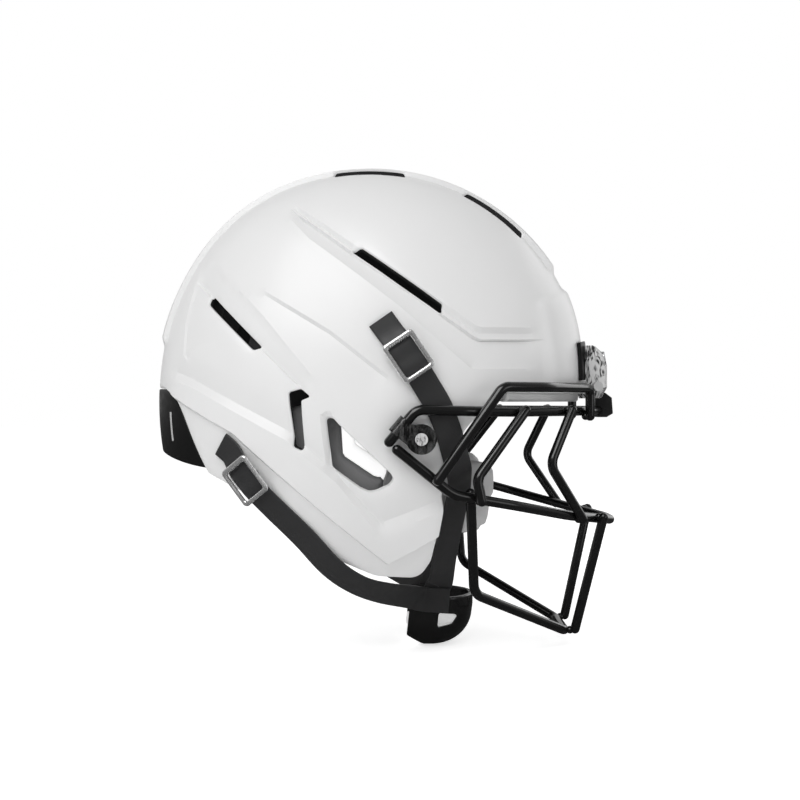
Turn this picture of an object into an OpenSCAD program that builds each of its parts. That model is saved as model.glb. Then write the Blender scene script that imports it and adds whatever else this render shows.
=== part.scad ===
/* [Shell] */
// Half of the shell's width at the ears
shell_half_w = 115; // [110:0.5:120]
// Wall thickness of the shell
shell_wall = 4; // [3:0.25:5]
// Reach of the profile from the ear centre, straight forward
front_reach = 151.5; // [149:0.5:155]
// Reach of the profile at the forehead, 30 degrees up
forehead_reach = 161; // [158:0.5:164]
// Reach of the profile 60 degrees up
crown_front_reach = 163; // [160:0.5:166]
// Reach of the profile at the crown, straight up
crown_reach = 161; // [158:0.5:164]
// Reach of the profile 60 degrees up at the back
crown_back_reach = 157.5; // [155:0.5:160]
// Reach of the profile 30 degrees up at the back
back_reach = 148.5; // [146:0.5:151]
// Reach of the profile straight back
nape_reach = 143; // [141:0.5:146]
// Reach of the profile below, which the jaw flaps follow
jaw_reach = 158; // [155:0.5:162]
// Share by which the jaw flaps draw in towards the chin
jaw_taper = 0.1; // [0.06:0.01:0.13]
// Squareness of the cross sections over the crown
crown_square = 2.4; // [2.2:0.05:2.5]
// Squareness of the plan at the brow and the nape
plan_square = 2; // [1.95:0.05:2.1]
// Height of the raised crown band
band_rise = 3; // [2:0.25:4]
// Half of the crown band's width
band_half_w = 33; // [30:0.5:36]
// Height of the raised brow panel
brow_rise = 2.5; // [1.5:0.25:3]
// Depth of the grooves that run through the side slots
groove_depth = 1.6; // [1:0.1:2]
// Width of the vent slots
slot_w = 4.4; // [3.5:0.1:5.5]

/* [Face guard] */
// Diameter of the coated guard wire
wire_d = 6.4; // [5.6:0.1:6.8]
// Gap that the weld beads bridge between crossed wires
weld_gap = 0.25; // [0.15:0.05:0.5]
// Distance of the brow bar's axis in front of the shell's brow
bar_stand_off = 7.5; // [7:0.25:8.5]
// Height of the brow bar
brow_bar_z = 37.6; // [36.5:0.1:38]
// Running clearance between the brow bar and its clips
bar_clearance = 0.05; // [0.03:0.01:0.08]

/* [Clips and screws] */
// Distance of each front clip from the middle
front_clip_y = 26; // [24:0.5:28]
// Width of a front clip
front_clip_w = 14; // [12:0.5:16]
// Thickness of a front clip, square to the shell
front_clip_t = 13; // [12:0.5:14]
// Diameter of the clip screws
screw_d = 4.5; // [4:0.1:5]
// Radius of the side clip's round boss
boss_r = 9.2; // [8.5:0.1:10]
// Thickness of the side clip's boss
boss_t = 7; // [6:0.5:8]
// Radius of the release button
button_r = 3.8; // [3.4:0.1:4.2]
// Travel of the release button
button_travel = 2.5; // [2:0.1:3]

/* [Chin strap] */
// Width of the webbing
strap_w = 17; // [15:0.5:18]
// Thickness of the webbing
strap_t = 1.8; // [1.4:0.1:2.2]
// Outer length of a buckle frame
buckle_l = 28; // [26:0.5:30]
// Outer width of a buckle frame
buckle_w = 23; // [22:0.5:25]
// Thickness of a buckle frame
buckle_t = 2.8; // [2.2:0.1:3.2]
// Outer radius of the chin cup
cup_r = 30; // [28:0.5:32]
// Height of the chin cup
cup_h = 35; // [32:0.5:38]
// Wall thickness of the chin cup
cup_wall = 3; // [2.5:0.25:4]

/* [Padding] */
// Thickness of the liner pads at their crowns
pad_t = 20; // [16:0.5:24]
// Distance of the jaw pads' faces from the middle
jaw_face_y = 58; // [54:0.5:62]
// Thickness of the ear pads
ear_pad_t = 12; // [8:0.5:14]

/* [Hidden] */
$fn = 48;

// Clearance between soft or curved pieces that only lie against each other
seat_gap = 0.3;
// Extra clearance of a pad behind the faceted inside of the shell
pad_gap = 1.5;
// Centre of the shell's form in the side view, at the ear
pole_x = 10;
pole_z = 25;
// Half width of the shell for which the points placed by hand are given, and the share by
// which they follow the shell's real half width
drawn_half_w = 115;
wide = shell_half_w / drawn_half_w;
// Height below the ear centre over which the jaw flaps draw in
taper_drop = 110;
wire_r = wire_d / 2;
// Angles in the side view between which the crown band and the brow panel slope to the shell
band_angles = [34, 36.5, 161, 164];
panel_angles = [28.5, 31];
// Half width of the brow panel, and the width of the slope beside each raised part
panel_half_w = 68;
slope_w = 2.4;
// Grid of the outer skin: rows at the edges of what is raised, evenly spaced elsewhere
skin_angles = concat(
    [for (a = [0:7.5:22.5]) a], panel_angles, [band_angles[0], band_angles[1]],
    [for (a = [45:7.5:157.5]) a], [band_angles[2], band_angles[3]],
    [for (a = [172.5:7.5:352.5]) a]
);
skin_half_levels = [
    band_half_w / 2, band_half_w, band_half_w + slope_w, (band_half_w + panel_half_w) / 2,
    panel_half_w, panel_half_w + slope_w, 80, 90, 99, 106, 111, 114
];
function both_sides(half) =
    concat([for (i = [len(half) - 1:-1:0]) -half[i]], [0], half);
skin_levels = [for (y = both_sides(skin_half_levels)) y * wide];
inner_angles = [for (a = [0:9:351]) a];
inner_levels = [for (v = both_sides([12, 24, 36, 48, 60, 70, 78, 84])) sin(v) * shell_half_w];
// Sides of a bent wire, and the most that it turns from one ring of points to the next
wire_sides = 12;
bend_step = 18;
side_right = -1;
side_left = 1;

// Reaches every 30 degrees, from straight forward, over the crown and round below
reaches = [
    front_reach, forehead_reach, crown_front_reach, crown_reach, crown_back_reach, back_reach,
    nape_reach, nape_reach + 4, jaw_reach - 4, jaw_reach, jaw_reach, (jaw_reach + front_reach) / 2
];
reach_step = 30;

// Reach of the middle profile at an angle, on a smooth curve through the reaches
function reach(angle) =
    let(
        turn = (angle % 360 + 360) % 360 / reach_step,
        i = floor(turn),
        t = turn - i,
        n = len(reaches),
        p = [for (j = [-1:2]) reaches[(i + j + n) % n]]
    )
    p[1] + 0.5 * t * (p[2] - p[0] + t * (2 * p[0] - 5 * p[1] + 4 * p[2] - p[3]
        + t * (3 * (p[1] - p[2]) + p[3] - p[0])));

function squareness(angle) = plan_square + (crown_square - plan_square) * pow(sin(angle), 2);

// Share of the half width that is left at a height, below the ear centre
function taper(z) = 1 - jaw_taper * pow(max(0, min(1, (pole_z - z) / taper_drop)), 1.5);

// Point of the form: angle in the side view, latitude from the middle, distance off the form
function form_point(angle, latitude, off) =
    let(
        n = squareness(angle),
        c = pow(max(0, cos(latitude)), 2 / n),
        s = sign(latitude) * pow(abs(sin(latitude)), 2 / n),
        r = (reach(angle) + off) * c,
        z = pole_z + r * sin(angle)
    )
    [pole_x + r * cos(angle), (shell_half_w + off) * s * taper(z), z];

// Half width of the form over a point of the side view
function form_half_y(x, z, off = 0) =
    let(
        dx = x - pole_x,
        dz = z - pole_z,
        angle = atan2(dz, dx),
        q = min(1, norm([dx, dz]) / (reach(angle) + off)),
        n = squareness(angle)
    )
    (shell_half_w + off) * pow(1 - pow(q, n), 1 / n) * taper(z);

function on_form(x, z, off, side) = [x, side * form_half_y(x, z, off), z];

// Where the front of the form stands at a height and a half width
function front_x(z, y, dx = 150, turns = 5) =
    let(
        angle = atan2(z - pole_z, dx),
        n = squareness(angle),
        r = reach(angle) * pow(1 - pow(y / shell_half_w, n), 1 / n)
    )
    turns == 0 ? pole_x + dx
    : front_x(z, y, sqrt(pow(r, 2) - pow(z - pole_z, 2)), turns - 1);

// Outward unit normal of the form over a point of the side view
function form_normal(x, z, side) =
    let(
        h = 0.5,
        gx = (form_half_y(x + h, z) - form_half_y(x - h, z)) / (2 * h),
        gz = (form_half_y(x, z + h) - form_half_y(x, z - h)) / (2 * h)
    )
    unit([-gx, side, -gz]);

function unit(v) = v / norm(v);
function mix(a, b, t) = a + (b - a) * t;
// Latitude at which the form has a given half width, taper apart
function latitude_of(y, angle) = asin(pow(min(1, y / shell_half_w), squareness(angle) / 2));

// Closed solid between an outer and an inner sheet of points
module between(outer, inner, nu, nv) {
    w = nv + 1;
    base = (nu + 1) * w;
    sheet_o = [for (i = [0:nu], j = [0:nv]) outer(i / nu, j / nv)];
    sheet_i = [for (i = [0:nu], j = [0:nv]) inner(i / nu, j / nv)];
    rim = concat(
        [for (j = [0:nv - 1]) j],
        [for (i = [0:nu - 1]) i * w + nv],
        [for (j = [nv:-1:1]) nu * w + j],
        [for (i = [nu:-1:1]) i * w]
    );
    m = len(rim);
    faces = concat(
        [for (i = [0:nu - 1], j = [0:nv - 1]) [i * w + j, (i + 1) * w + j, i * w + j + 1]],
        [for (i = [0:nu - 1], j = [0:nv - 1]) [i * w + j + 1, (i + 1) * w + j, (i + 1) * w + j + 1]],
        [for (i = [0:nu - 1], j = [0:nv - 1])
            [base + i * w + j, base + i * w + j + 1, base + (i + 1) * w + j]],
        [for (i = [0:nu - 1], j = [0:nv - 1])
            [base + i * w + j + 1, base + (i + 1) * w + j + 1, base + (i + 1) * w + j]],
        [for (k = [0:m - 1]) [rim[k], rim[(k + 1) % m], base + rim[k]]],
        [for (k = [0:m - 1]) [base + rim[k], rim[(k + 1) % m], base + rim[(k + 1) % m]]]
    );
    polyhedron(concat(sheet_o, sheet_i), faces, convexity = 6);
}

// Point of the form at an angle and a half width, measured before the taper
function level_point(angle, y, off) =
    let(
        n = squareness(angle),
        s = y / shell_half_w,
        r = (reach(angle) + off) * pow(1 - pow(abs(s), n), 1 / n),
        z = pole_z + r * sin(angle)
    )
    [pole_x + r * cos(angle), (shell_half_w + off) * s * taper(z), z];

// Height of the raised crown band and brow panel at a grid point
function rise(angle, y) =
    abs(y) <= band_half_w * wide && angle >= band_angles[1] && angle <= band_angles[2] ? band_rise
    : abs(y) <= panel_half_w * wide && (angle <= panel_angles[0] || angle > 330) ? brow_rise
    : 0;

// Whole closed form at a distance off the shell's form
module form(off, angles, levels, relief = false) {
    around = len(angles);
    across = len(levels);
    tips = [[pole_x, -(shell_half_w + off), pole_z], [pole_x, shell_half_w + off, pole_z]];
    points = concat(
        [for (y = levels, a = angles) level_point(a, y, off + (relief ? rise(a, y) : 0))],
        tips
    );
    last = (across - 1) * around;
    tip = across * around;
    faces = concat(
        [for (j = [0:across - 2], i = [0:around - 1])
            [j * around + i, j * around + (i + 1) % around, (j + 1) * around + i]],
        [for (j = [0:across - 2], i = [0:around - 1])
            [j * around + (i + 1) % around, (j + 1) * around + (i + 1) % around,
             (j + 1) * around + i]],
        [for (i = [0:around - 1]) [tip, (i + 1) % around, i]],
        [for (i = [0:around - 1]) [tip + 1, last + i, last + (i + 1) % around]]
    );
    polyhedron(points, faces, convexity = 4);
}

// Side-view outline pushed right through the helmet, across its width
module through(points, rounding = 0) {
    rotate([90, 0, 0])
        linear_extrude(2 * shell_half_w + 60, center = true)
            offset(rounding, $fn = 12)
                offset(-rounding, $fn = 12)
                    polygon(points);
}

// Side-view outlines, forward and up
shell_outline = [
    [200, 33], [98, 33], [76, 10], [62.5, -20], [62.5, -74], [50, -86], [20, -84], [-12, -69],
    [-33, -51], [-61, -31], [-93, -16], [-150, -3], [-160, 230], [200, 230]
];
ear_hole = [
    [-9.6, 16.2], [-2.3, 13.8], [30, -17], [31.8, -20.9], [29, -24.5], [20.9, -28.2],
    [16.6, -28.8], [11.1, -26.4], [-6.5, -13.6]
];
hook_slot = [
    [-31.2, 33.3], [-25.2, 35.1], [-19.7, 30.2], [-24.5, 28.4], [-23, -1.3], [-28.8, 1.7]
];
crown_slots = [[[-3, 190], [33, 190]], [[83, 166], [112, 141]]];
side_slots = [[[8, 121.6], [59.4, 83.5]], [[-84.4, 91.3], [-53.4, 61.4]]];
// Grooves in the side view: through the upper slot, through the rear slot, and both edges
// of the ridge above the shell's lower edge
grooves = [
    [[-42, 154], [6.4, 120], [60.9, 80], [84, 65], [122, 65]],
    [[-98, 104], [-86, 90], [-52, 57], [-22, 28]],
    [[-118, 47], [-101, 48], [-6, -14], [23, -49], [62, -46]],
    [[-118, 34], [-68, 8], [28, -71], [60, -68]]
];
groove_step = 22;

// Rear bumper: from its upper edge down past the shell's edge, widest at the bottom
bumper_out = 0.3;
bumper_t = 6;
bumper_steps = [6, 12];
function bumper_latitude(u) = mix(24, 43.5, pow(u, 0.38));
function bumper_point(u, v, off, grow) =
    let(
        latitude = (2 * v - 1) * (bumper_latitude(u) + (u == 1 ? 8 * grow : grow)),
        bottom = 192.5 + 7.5 * pow(2 * v - 1, 2),
        past = u == 0 ? -grow : u == 1 ? 20 * grow : 0
    )
    form_point(mix(175.5, bottom, u) + past, latitude, off);

module rear_bumper() {
    color([0.05, 0.05, 0.05])
        between(
            function(u, v) bumper_point(u, v, bumper_out, 0),
            function(u, v) bumper_point(u, v, bumper_out - bumper_t, 0),
            bumper_steps[0], bumper_steps[1]
        );
}

// Places where the buckles snap on, in the side view, with the strap's direction there
upper_snap = [39.7, 54.4];
lower_snap = [-57.5, -20];
upper_strap_angle = -56;
lower_strap_angle = -51;
snap_places = [upper_snap, lower_snap];
stud_r = 2.4;
cap_t = 2.6;
cap_r = 7.5;
// Distance of straps and caps off the form, and depth of the studs' heads behind it
snap_off = 0.8;
stud_back = shell_wall + 0.8;
stud_head_t = 1.2;
// Frame on the shell: x along the strap, y across it, z out of the surface
module on_skin(place, angle, off, side) {
    n = form_normal(place[0], place[1], side);
    along = unit([cos(angle), 0, sin(angle)] - n * ([cos(angle), 0, sin(angle)] * n));
    across = cross(n, along);
    p = on_form(place[0], place[1], 0, side) + n * off;
    multmatrix([
        [along[0], across[0], n[0], p[0]],
        [along[1], across[1], n[1], p[1]],
        [along[2], across[2], n[2], p[2]]
    ])
        children();
}

// Front clip frame: x square to the shell, y across, origin on the bumper's face
clip_turn = 17;
clip_bottom_z = 29.6;
clip_foot_z = 43;
clip_top_z = 65.5;
screw_z = 57;
// Foremost point of the shell's form behind the clips' inner edges
brow_front = max([
    for (z = [clip_foot_z, screw_z, clip_top_z]) front_x(z, front_clip_y - front_clip_w / 2)
]);
brow_x = brow_front + 1.7;
brow_bar_x = brow_x + bar_stand_off;
clip_face_x = brow_x + 2.2;
// Nuts in pockets inside the shell: depth behind the clip's face, thickness and radius
nut_back = shell_wall + brow_rise + 0.8 + brow_front - front_x(screw_z, front_clip_y);
nut_t = 2.4;
nut_r = screw_d;

module at_front_clip(side) {
    translate([clip_face_x, side * front_clip_y, 0])
        rotate([0, 0, side * clip_turn])
            children();
}

module vent_slot(ends) {
    rotate([90, 0, 0])
        hull()
            for (p = ends)
                translate([p[0], p[1], 0])
                    cylinder(h = 2 * shell_half_w + 60, d = slot_w, center = true, $fn = 8);
}

// Points along a side-view polyline, close enough to follow the form
function stepped(points) = concat(
    [for (i = [0:len(points) - 2])
        let(steps = ceil(norm(points[i + 1] - points[i]) / groove_step))
        for (k = [0:steps - 1]) mix(points[i], points[i + 1], k / steps)],
    [points[len(points) - 1]]
);

module groove(points, side) {
    ball_r = 6;
    line = stepped(points);
    for (i = [0:len(line) - 2])
        hull()
            for (p = [line[i], line[i + 1]])
                translate(on_form(p[0], p[1], ball_r - groove_depth, side))
                    sphere(ball_r, $fn = 8);
}

module shell() {
    color([0.93, 0.93, 0.92])
        difference() {
            intersection() {
                form(0, skin_angles, skin_levels, true);
                through(shell_outline, 6);
            }
            form(-shell_wall, inner_angles, inner_levels);
            between(
                function(u, v) bumper_point(u, v, 8, 0.3),
                function(u, v) bumper_point(u, v, -16, 0.3),
                bumper_steps[0], bumper_steps[1]
            );
            through(ear_hole, 1.5);
            through(hook_slot, 1);
            for (ends = side_slots)
                vent_slot(ends);
            for (ends = crown_slots, side = [side_right, side_left])
                hull()
                    for (p = ends)
                        translate([p[0], side * (band_half_w + slope_w / 2), p[1] - 24])
                            cylinder(h = 60, d = slot_w, $fn = 8);
            for (side = [side_right, side_left]) {
                for (line = grooves)
                    groove(line, side);
                for (place = snap_places)
                    on_skin(place, 0, -20, side) {
                        cylinder(h = 40, r = stud_r + seat_gap, $fn = 10);
                        cylinder(h = 20 - stud_back + stud_head_t + seat_gap, r = 5.4, $fn = 10);
                    }
                translate([socket_x, side * shell_half_w, socket_z])
                    rotate([90, 0, 0])
                        cylinder(h = 40, r = socket_r + seat_gap, center = true, $fn = 14);
                at_front_clip(side)
                    translate([-20, 0, screw_z])
                        rotate([0, 90, 0]) {
                            cylinder(h = 40, d = screw_d + 2 * seat_gap, $fn = 10);
                            cylinder(
                                h = 20 - nut_back + nut_t + seat_gap, r = nut_r + seat_gap, $fn = 10
                            );
                        }
            }
        }
}

module front_bumper() {
    plate_t = 2.6;
    half_y = 38;
    low = 42;
    high = 67;
    function edge(v, off) = form_point(
        mix(asin((low - pole_z) / front_reach), asin((high - pole_z) / front_reach), v[0]),
        mix(-1, 1, v[1]) * latitude_of(half_y, 10), off
    );
    color([0.06, 0.06, 0.06])
        difference() {
            between(
                function(u, v) edge([u, v], brow_rise + seat_gap + plate_t),
                function(u, v) edge([u, v], brow_rise + seat_gap),
                4, 14
            );
            for (side = [side_right, side_left])
                at_front_clip(side)
                    translate([-20, 0, screw_z])
                        rotate([0, 90, 0])
                            cylinder(h = 40, d = screw_d + 2 * seat_gap);
        }
}

// Thickness of a cushion over its face: drawn in at the sides, dipped in its channels
function cushion(u, v, cells_u, cells_v) =
    let(
        sides = (1 - pow(abs(2 * u - 1), 6)) * (1 - pow(abs(2 * v - 1), 6)),
        dip_u = cells_u > 1 ? pow(abs(sin(180 * cells_u * u)), 0.5) : 1,
        dip_v = cells_v > 1 ? pow(abs(sin(180 * cells_v * v)), 0.5) : 1
    )
    0.35 + 0.65 * sides * (0.62 + 0.38 * min(dip_u, dip_v));

// Cushion against the inside of the shell, between two angles and two latitudes
module liner_pad(a0, a1, half_latitude, cells_u, cells_v, nu, nv) {
    back = -shell_wall - pad_gap;
    color([0.2, 0.2, 0.21])
        between(
            function(u, v) form_point(mix(a0, a1, u), mix(-half_latitude, half_latitude, v), back),
            function(u, v) form_point(
                mix(a0, a1, u), mix(-half_latitude, half_latitude, v),
                back - pad_t * cushion(u, v, cells_u, cells_v)
            ),
            nu, nv
        );
}

module front_pad() liner_pad(6, 40, 40, 1, 3, 8, 20);
module crown_pad() liner_pad(56, 124, 24, 3, 1, 24, 10);
module rear_pad() liner_pad(138, 174, 34, 2, 2, 16, 14);

// Cushion between four corners of the side view, thickness measured across the helmet
module side_cushion(corners, side, cells, nu, nv) {
    function at(u, v) = mix(mix(corners[0], corners[1], u), mix(corners[3], corners[2], u), v);
    back = -shell_wall - pad_gap;
    mirror([0, side == side_right ? 1 : 0, 0])
        color([0.2, 0.2, 0.21])
            between(
                function(u, v) on_form(at(u, v)[0], at(u, v)[1], back, 1),
                function(u, v) on_form(at(u, v)[0], at(u, v)[1], back, 1)
                    - [0, pad_t * cushion(u, v, cells, 1), 0],
                nu, nv
            );
}

side_pad_corners = [[-70, 34], [74, 40], [58, 96], [-58, 92]];
module side_pad_right() side_cushion(side_pad_corners, side_right, 3, 20, 8);
module side_pad_left() side_cushion(side_pad_corners, side_left, 3, 20, 8);

// Jaw pad: fills the jaw flap and stands out in front of its edge
jaw_pad_corners = [[14, -74], [89, -59], [96, -15], [34, 0]];
jaw_nose_x = 58;
// Outer side of the pad in front of the flap, where the upper strap runs past it
function jaw_nose_y(z) = min(70, 70 + (z + 46) * 0.72);
module jaw_pad(side) {
    function at(u, v) = mix(
        mix(jaw_pad_corners[0], jaw_pad_corners[1], u),
        mix(jaw_pad_corners[3], jaw_pad_corners[2], u), v
    );
    function back_y(p) = mix(
        form_half_y(min(p[0], jaw_nose_x), p[1], -shell_wall - pad_gap), jaw_nose_y(p[1]),
        max(0, min(1, (p[0] - jaw_nose_x + 12) / 14))
    );
    mirror([0, side == side_right ? 1 : 0, 0])
        color([0.56, 0.56, 0.56])
            between(
                function(u, v) [at(u, v)[0], back_y(at(u, v)), at(u, v)[1]],
                function(u, v) [
                    at(u, v)[0],
                    back_y(at(u, v)) - (back_y(at(u, v)) - jaw_face_y) * cushion(u, v, 1, 1),
                    at(u, v)[1]
                ],
                14, 12
            );
}
module jaw_pad_right() jaw_pad(side_right);
module jaw_pad_left() jaw_pad(side_left);

// Ear pad: a soft cushion round the back and the bottom of the ear hole, a little inside it
ear_pad_outline = [
    [-38, 22], [-8, 30], [12, 24], [2, 15], [-1.5, 13], [-0.3, -6.2], [20.3, -20.1],
    [25.5, -19.6], [24.5, -29], [19, -44], [-6, -44], [-30, -26]
];
module ear_pad(side) {
    y = form_half_y(10, -44, -shell_wall) - pad_gap - ear_pad_t;
    color([0.3, 0.3, 0.3])
        translate([0, side * (y + ear_pad_t / 2), 0])
            rotate([90, 0, 0])
                linear_extrude(ear_pad_t, center = true)
                    polygon(ear_pad_outline);
}
module ear_pad_right() ear_pad(side_right);
module ear_pad_left() ear_pad(side_left);

// Front clip: a clear block with a hook round the brow bar
module front_clip(side) {
    hook_r = wire_r + 1.6;
    color([0.8, 0.86, 0.9])
        difference() {
            union() {
                at_front_clip(side)
                    rotate([90, 0, 0])
                        linear_extrude(front_clip_w, center = true)
                            polygon([
                                [0, clip_foot_z], [0, clip_top_z], [5, clip_top_z],
                                [front_clip_t - 1.5, clip_top_z - 6], [front_clip_t, 52],
                                [front_clip_t, 37], [front_clip_t - 4, clip_bottom_z],
                                [7, clip_bottom_z]
                            ]);
                translate([brow_bar_x, side * front_clip_y, brow_bar_z])
                    rotate([90, 0, 0])
                        cylinder(h = front_clip_w - 1, r = hook_r, center = true);
            }
            translate([brow_bar_x, side * front_clip_y, brow_bar_z])
                rotate([90, 0, 0])
                    cylinder(h = 3 * front_clip_w, r = wire_r + bar_clearance, center = true);
            at_front_clip(side)
                translate([-20, 0, screw_z])
                    rotate([0, 90, 0]) {
                        cylinder(h = 60, d = screw_d + 0.1);
                        translate([0, 0, 20 + front_clip_t - 4])
                            cylinder(h = 20, d = 2 * screw_d + 0.4);
                    }
        }
}
module front_clip_right() front_clip(side_right);
module front_clip_left() front_clip(side_left);

// Pan-head screws of the front clips, with a hexagon recess
screw_l = front_clip_t - 4 + seat_gap + nut_back;
module clip_screws() {
    color([0.75, 0.75, 0.76])
        for (side = [side_right, side_left])
            at_front_clip(side)
                translate([front_clip_t - 4 + seat_gap, 0, screw_z])
                    rotate([0, -90, 0])
                        difference() {
                            union() {
                                cylinder(h = screw_l, d = screw_d);
                                translate([0, 0, -2.6])
                                    cylinder(h = 2.6, d = 2 * screw_d);
                            }
                            translate([0, 0, -3])
                                cylinder(h = 2.4, d = screw_d * 0.75, $fn = 6);
                        }
}

module clip_nuts() {
    color([0.6, 0.6, 0.62])
        for (side = [side_right, side_left])
            at_front_clip(side)
                translate([-nut_back, 0, screw_z])
                    rotate([0, 90, 0])
                        difference() {
                            cylinder(h = nut_t, r = nut_r);
                            translate([0, 0, -1])
                                cylinder(h = nut_t + 2, d = screw_d + 0.1);
                        }
}

// Sockets in the shell into which the side clips lock
socket_x = 48.4;
socket_z = 4.7;
socket_r = 5;
side_clip_y = shell_half_w + 0.4;
// Outer end of the sockets, which the guard's wires pass over as it swings
socket_top = shell_half_w - 1.5;
socket_l = 9;
module side_sockets() {
    color([0.25, 0.25, 0.26])
        for (side = [side_right, side_left])
            mirror([0, side == side_right ? 1 : 0, 0])
                translate([socket_x, 0, socket_z])
                    rotate([-90, 0, 0])
                        difference() {
                            translate([0, 0, socket_top - socket_l])
                                cylinder(h = socket_l, r = socket_r);
                            translate([0, 0, socket_top - socket_l + 2])
                                cylinder(h = socket_l, r = button_r + seat_gap);
                        }
}

// Snap studs through the shell, and the caps that the buckles carry
module snap_studs() {
    color([0.7, 0.7, 0.72])
        for (side = [side_right, side_left], place = snap_places)
            on_skin(place, 0, 0, side) {
                translate([0, 0, -stud_back])
                    cylinder(h = stud_back + snap_off + 0.9, r = stud_r);
                translate([0, 0, -stud_back])
                    cylinder(h = stud_head_t, r = 5);
                translate([0, 0, snap_off])
                    cylinder(h = 0.9, r = 4.4);
            }
}

module snap_caps() {
    color([0.08, 0.08, 0.08])
        for (side = [side_right, side_left], place = snap_places)
            on_skin(place, 0, snap_off, side)
                difference() {
                    cylinder(h = cap_t, r = cap_r);
                    translate([0, 0, -1])
                        cylinder(h = 2.1, r = 4.6);
                }
}

// Buckle: a die-cast ladder frame over the strap
buckle_off = snap_off + cap_t + strap_t + 2 * seat_gap;
module buckle(place, angle, side) {
    bar = 3;
    end_bar = 3.4;
    color([0.8, 0.8, 0.81])
        on_skin(place, angle, buckle_off, side)
            difference() {
                linear_extrude(buckle_t)
                    square([buckle_l, buckle_w], center = true);
                translate([0, 0, -1])
                    linear_extrude(buckle_t + 2)
                        square([buckle_l - 2 * end_bar, buckle_w - 2 * bar], center = true);
                for (sx = [-1, 1], sy = [-1, 1])
                    translate([sx * buckle_l / 2, sy * buckle_w / 2, -1])
                        rotate([0, 0, sx * sy * 45])
                            cube([3.6, 12, 2 * buckle_t + 4], center = true);
            }
}
module buckle_upper_right() buckle(upper_snap, upper_strap_angle, side_right);
module buckle_upper_left() buckle(upper_snap, upper_strap_angle, side_left);
module buckle_lower_right() buckle(lower_snap, lower_strap_angle, side_right);
module buckle_lower_left() buckle(lower_snap, lower_strap_angle, side_left);

// Smooth curve through points, several steps from each to the next
function curve(points, steps) =
    let(last = len(points) - 1)
    concat(
        [for (i = [0:last - 1], k = [0:steps - 1])
            let(
                t = k / steps,
                p = [for (j = [-1:2]) points[max(0, min(last, i + j))]]
            )
            p[1] + 0.5 * t * (p[2] - p[0] + t * (2 * p[0] - 5 * p[1] + 4 * p[2] - p[3]
                + t * (3 * (p[1] - p[2]) + p[3] - p[0])))],
        [points[last]]
    );

// Webbing swept along points, each with the direction out of its flat face
module webbing(points, normals) {
    n = len(points);
    rings = [for (i = [0:n - 1])
        let(
            t = unit(points[min(n - 1, i + 1)] - points[max(0, i - 1)]),
            w = unit(cross(t, normals[i])),
            out = cross(w, t)
        )
        for (c = [[-1, 0], [1, 0], [1, 1], [-1, 1]])
            points[i] + w * c[0] * strap_w / 2 + out * c[1] * strap_t];
    faces = concat(
        [for (i = [0:n - 2], k = [0:3]) [i * 4 + k, i * 4 + (k + 1) % 4, (i + 1) * 4 + k]],
        [for (i = [0:n - 2], k = [0:3])
            [i * 4 + (k + 1) % 4, (i + 1) * 4 + (k + 1) % 4, (i + 1) * 4 + k]],
        [[2, 1, 0], [3, 2, 0]],
        [[4 * n - 4, 4 * n - 3, 4 * n - 2], [4 * n - 4, 4 * n - 2, 4 * n - 1]]
    );
    polyhedron(points = rings, faces = faces, convexity = 6);
}

// Underside points of the straps: on the shell by the side view, then free to the chin cup
function skin_points(places, offs) = [
    for (i = [0:len(places) - 1])
        on_form(places[i][0], places[i][1], 0, 1)
            + form_normal(places[i][0], places[i][1], 1) * offs[i]
];
function skin_normals(places) = [for (p = places) form_normal(p[0], p[1], 1)];

strap_low = snap_off;
strap_high = snap_off + cap_t + seat_gap;
upper_places = [
    [23.5, 77.5], [30, 68.5], upper_snap - [5, -7.4], upper_snap, upper_snap + [5, -7.4],
    [52, 36], [59, 24], [64.5, 10], [68.5, -4], [71.5, -15]
];
upper_offs = [
    strap_low, strap_low, strap_high, strap_high, strap_high,
    strap_low, strap_low, strap_low, strap_low, strap_low
];
upper_free = [[72.3, 88, -28], [72, 75.5, -47], [67.5, 54, -75], [63, 33.5, -95]];
lower_places = [
    [-76, 1], [-69, -5], lower_snap - [4.8, -5.9], lower_snap, lower_snap + [4.8, -5.9],
    [-42, -39], [-24, -57]
];
lower_offs = [strap_low, strap_low, strap_high, strap_high, strap_high, strap_low, strap_low];
lower_free = [
    [-7.5, 88.8, -76.5], [8, 80.5, -88.5], [24, 65, -96.5], [41, 43.5, -103], [50, 33.6, -107.6]
];

module strap(places, offs, free, free_normals, side) {
    points = curve(concat(skin_points(places, offs), free), 2);
    normals = curve(concat(skin_normals(places), free_normals), 2);
    mirror([0, side == side_right ? 1 : 0, 0])
        color([0.13, 0.13, 0.13])
            webbing(points, normals);
}

// The cup turns about the line through the strap ends
cup_x = 57;
cup_top = -107;
cup_corner = 20;
cup_back = 42;
strap_anchor_y = cup_r + 0.5;
module strap_upper(side) {
    end = [[60.5, strap_anchor_y, cup_top + 6.5], [55.6, strap_anchor_y, cup_top - 12]];
    strap(
        upper_places, upper_offs, concat(upper_free, end),
        [
            [0.4, 0.86, -0.1], [0.4, 0.83, -0.3], [0.3, 0.9, -0.4], [0.1, 1, -0.2],
            [0, 1, 0], [0, 1, 0]
        ], side
    );
}
module strap_lower(side) {
    y = strap_anchor_y + strap_t + seat_gap;
    end = [[57, y, cup_top - 2.3], [67, y, cup_top - 3.8]];
    strap(
        lower_places, lower_offs, concat(lower_free, end),
        [
            [-0.1, 0.87, -0.5], [-0.1, 0.88, -0.45], [0, 0.95, -0.3], [0, 1, -0.1],
            [0, 1, 0], [0, 1, 0], [0, 1, 0]
        ],
        side
    );
}
module strap_upper_right() strap_upper(side_right);
module strap_upper_left() strap_upper(side_left);
module strap_lower_right() strap_lower(side_right);
module strap_lower_left() strap_lower(side_left);

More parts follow.
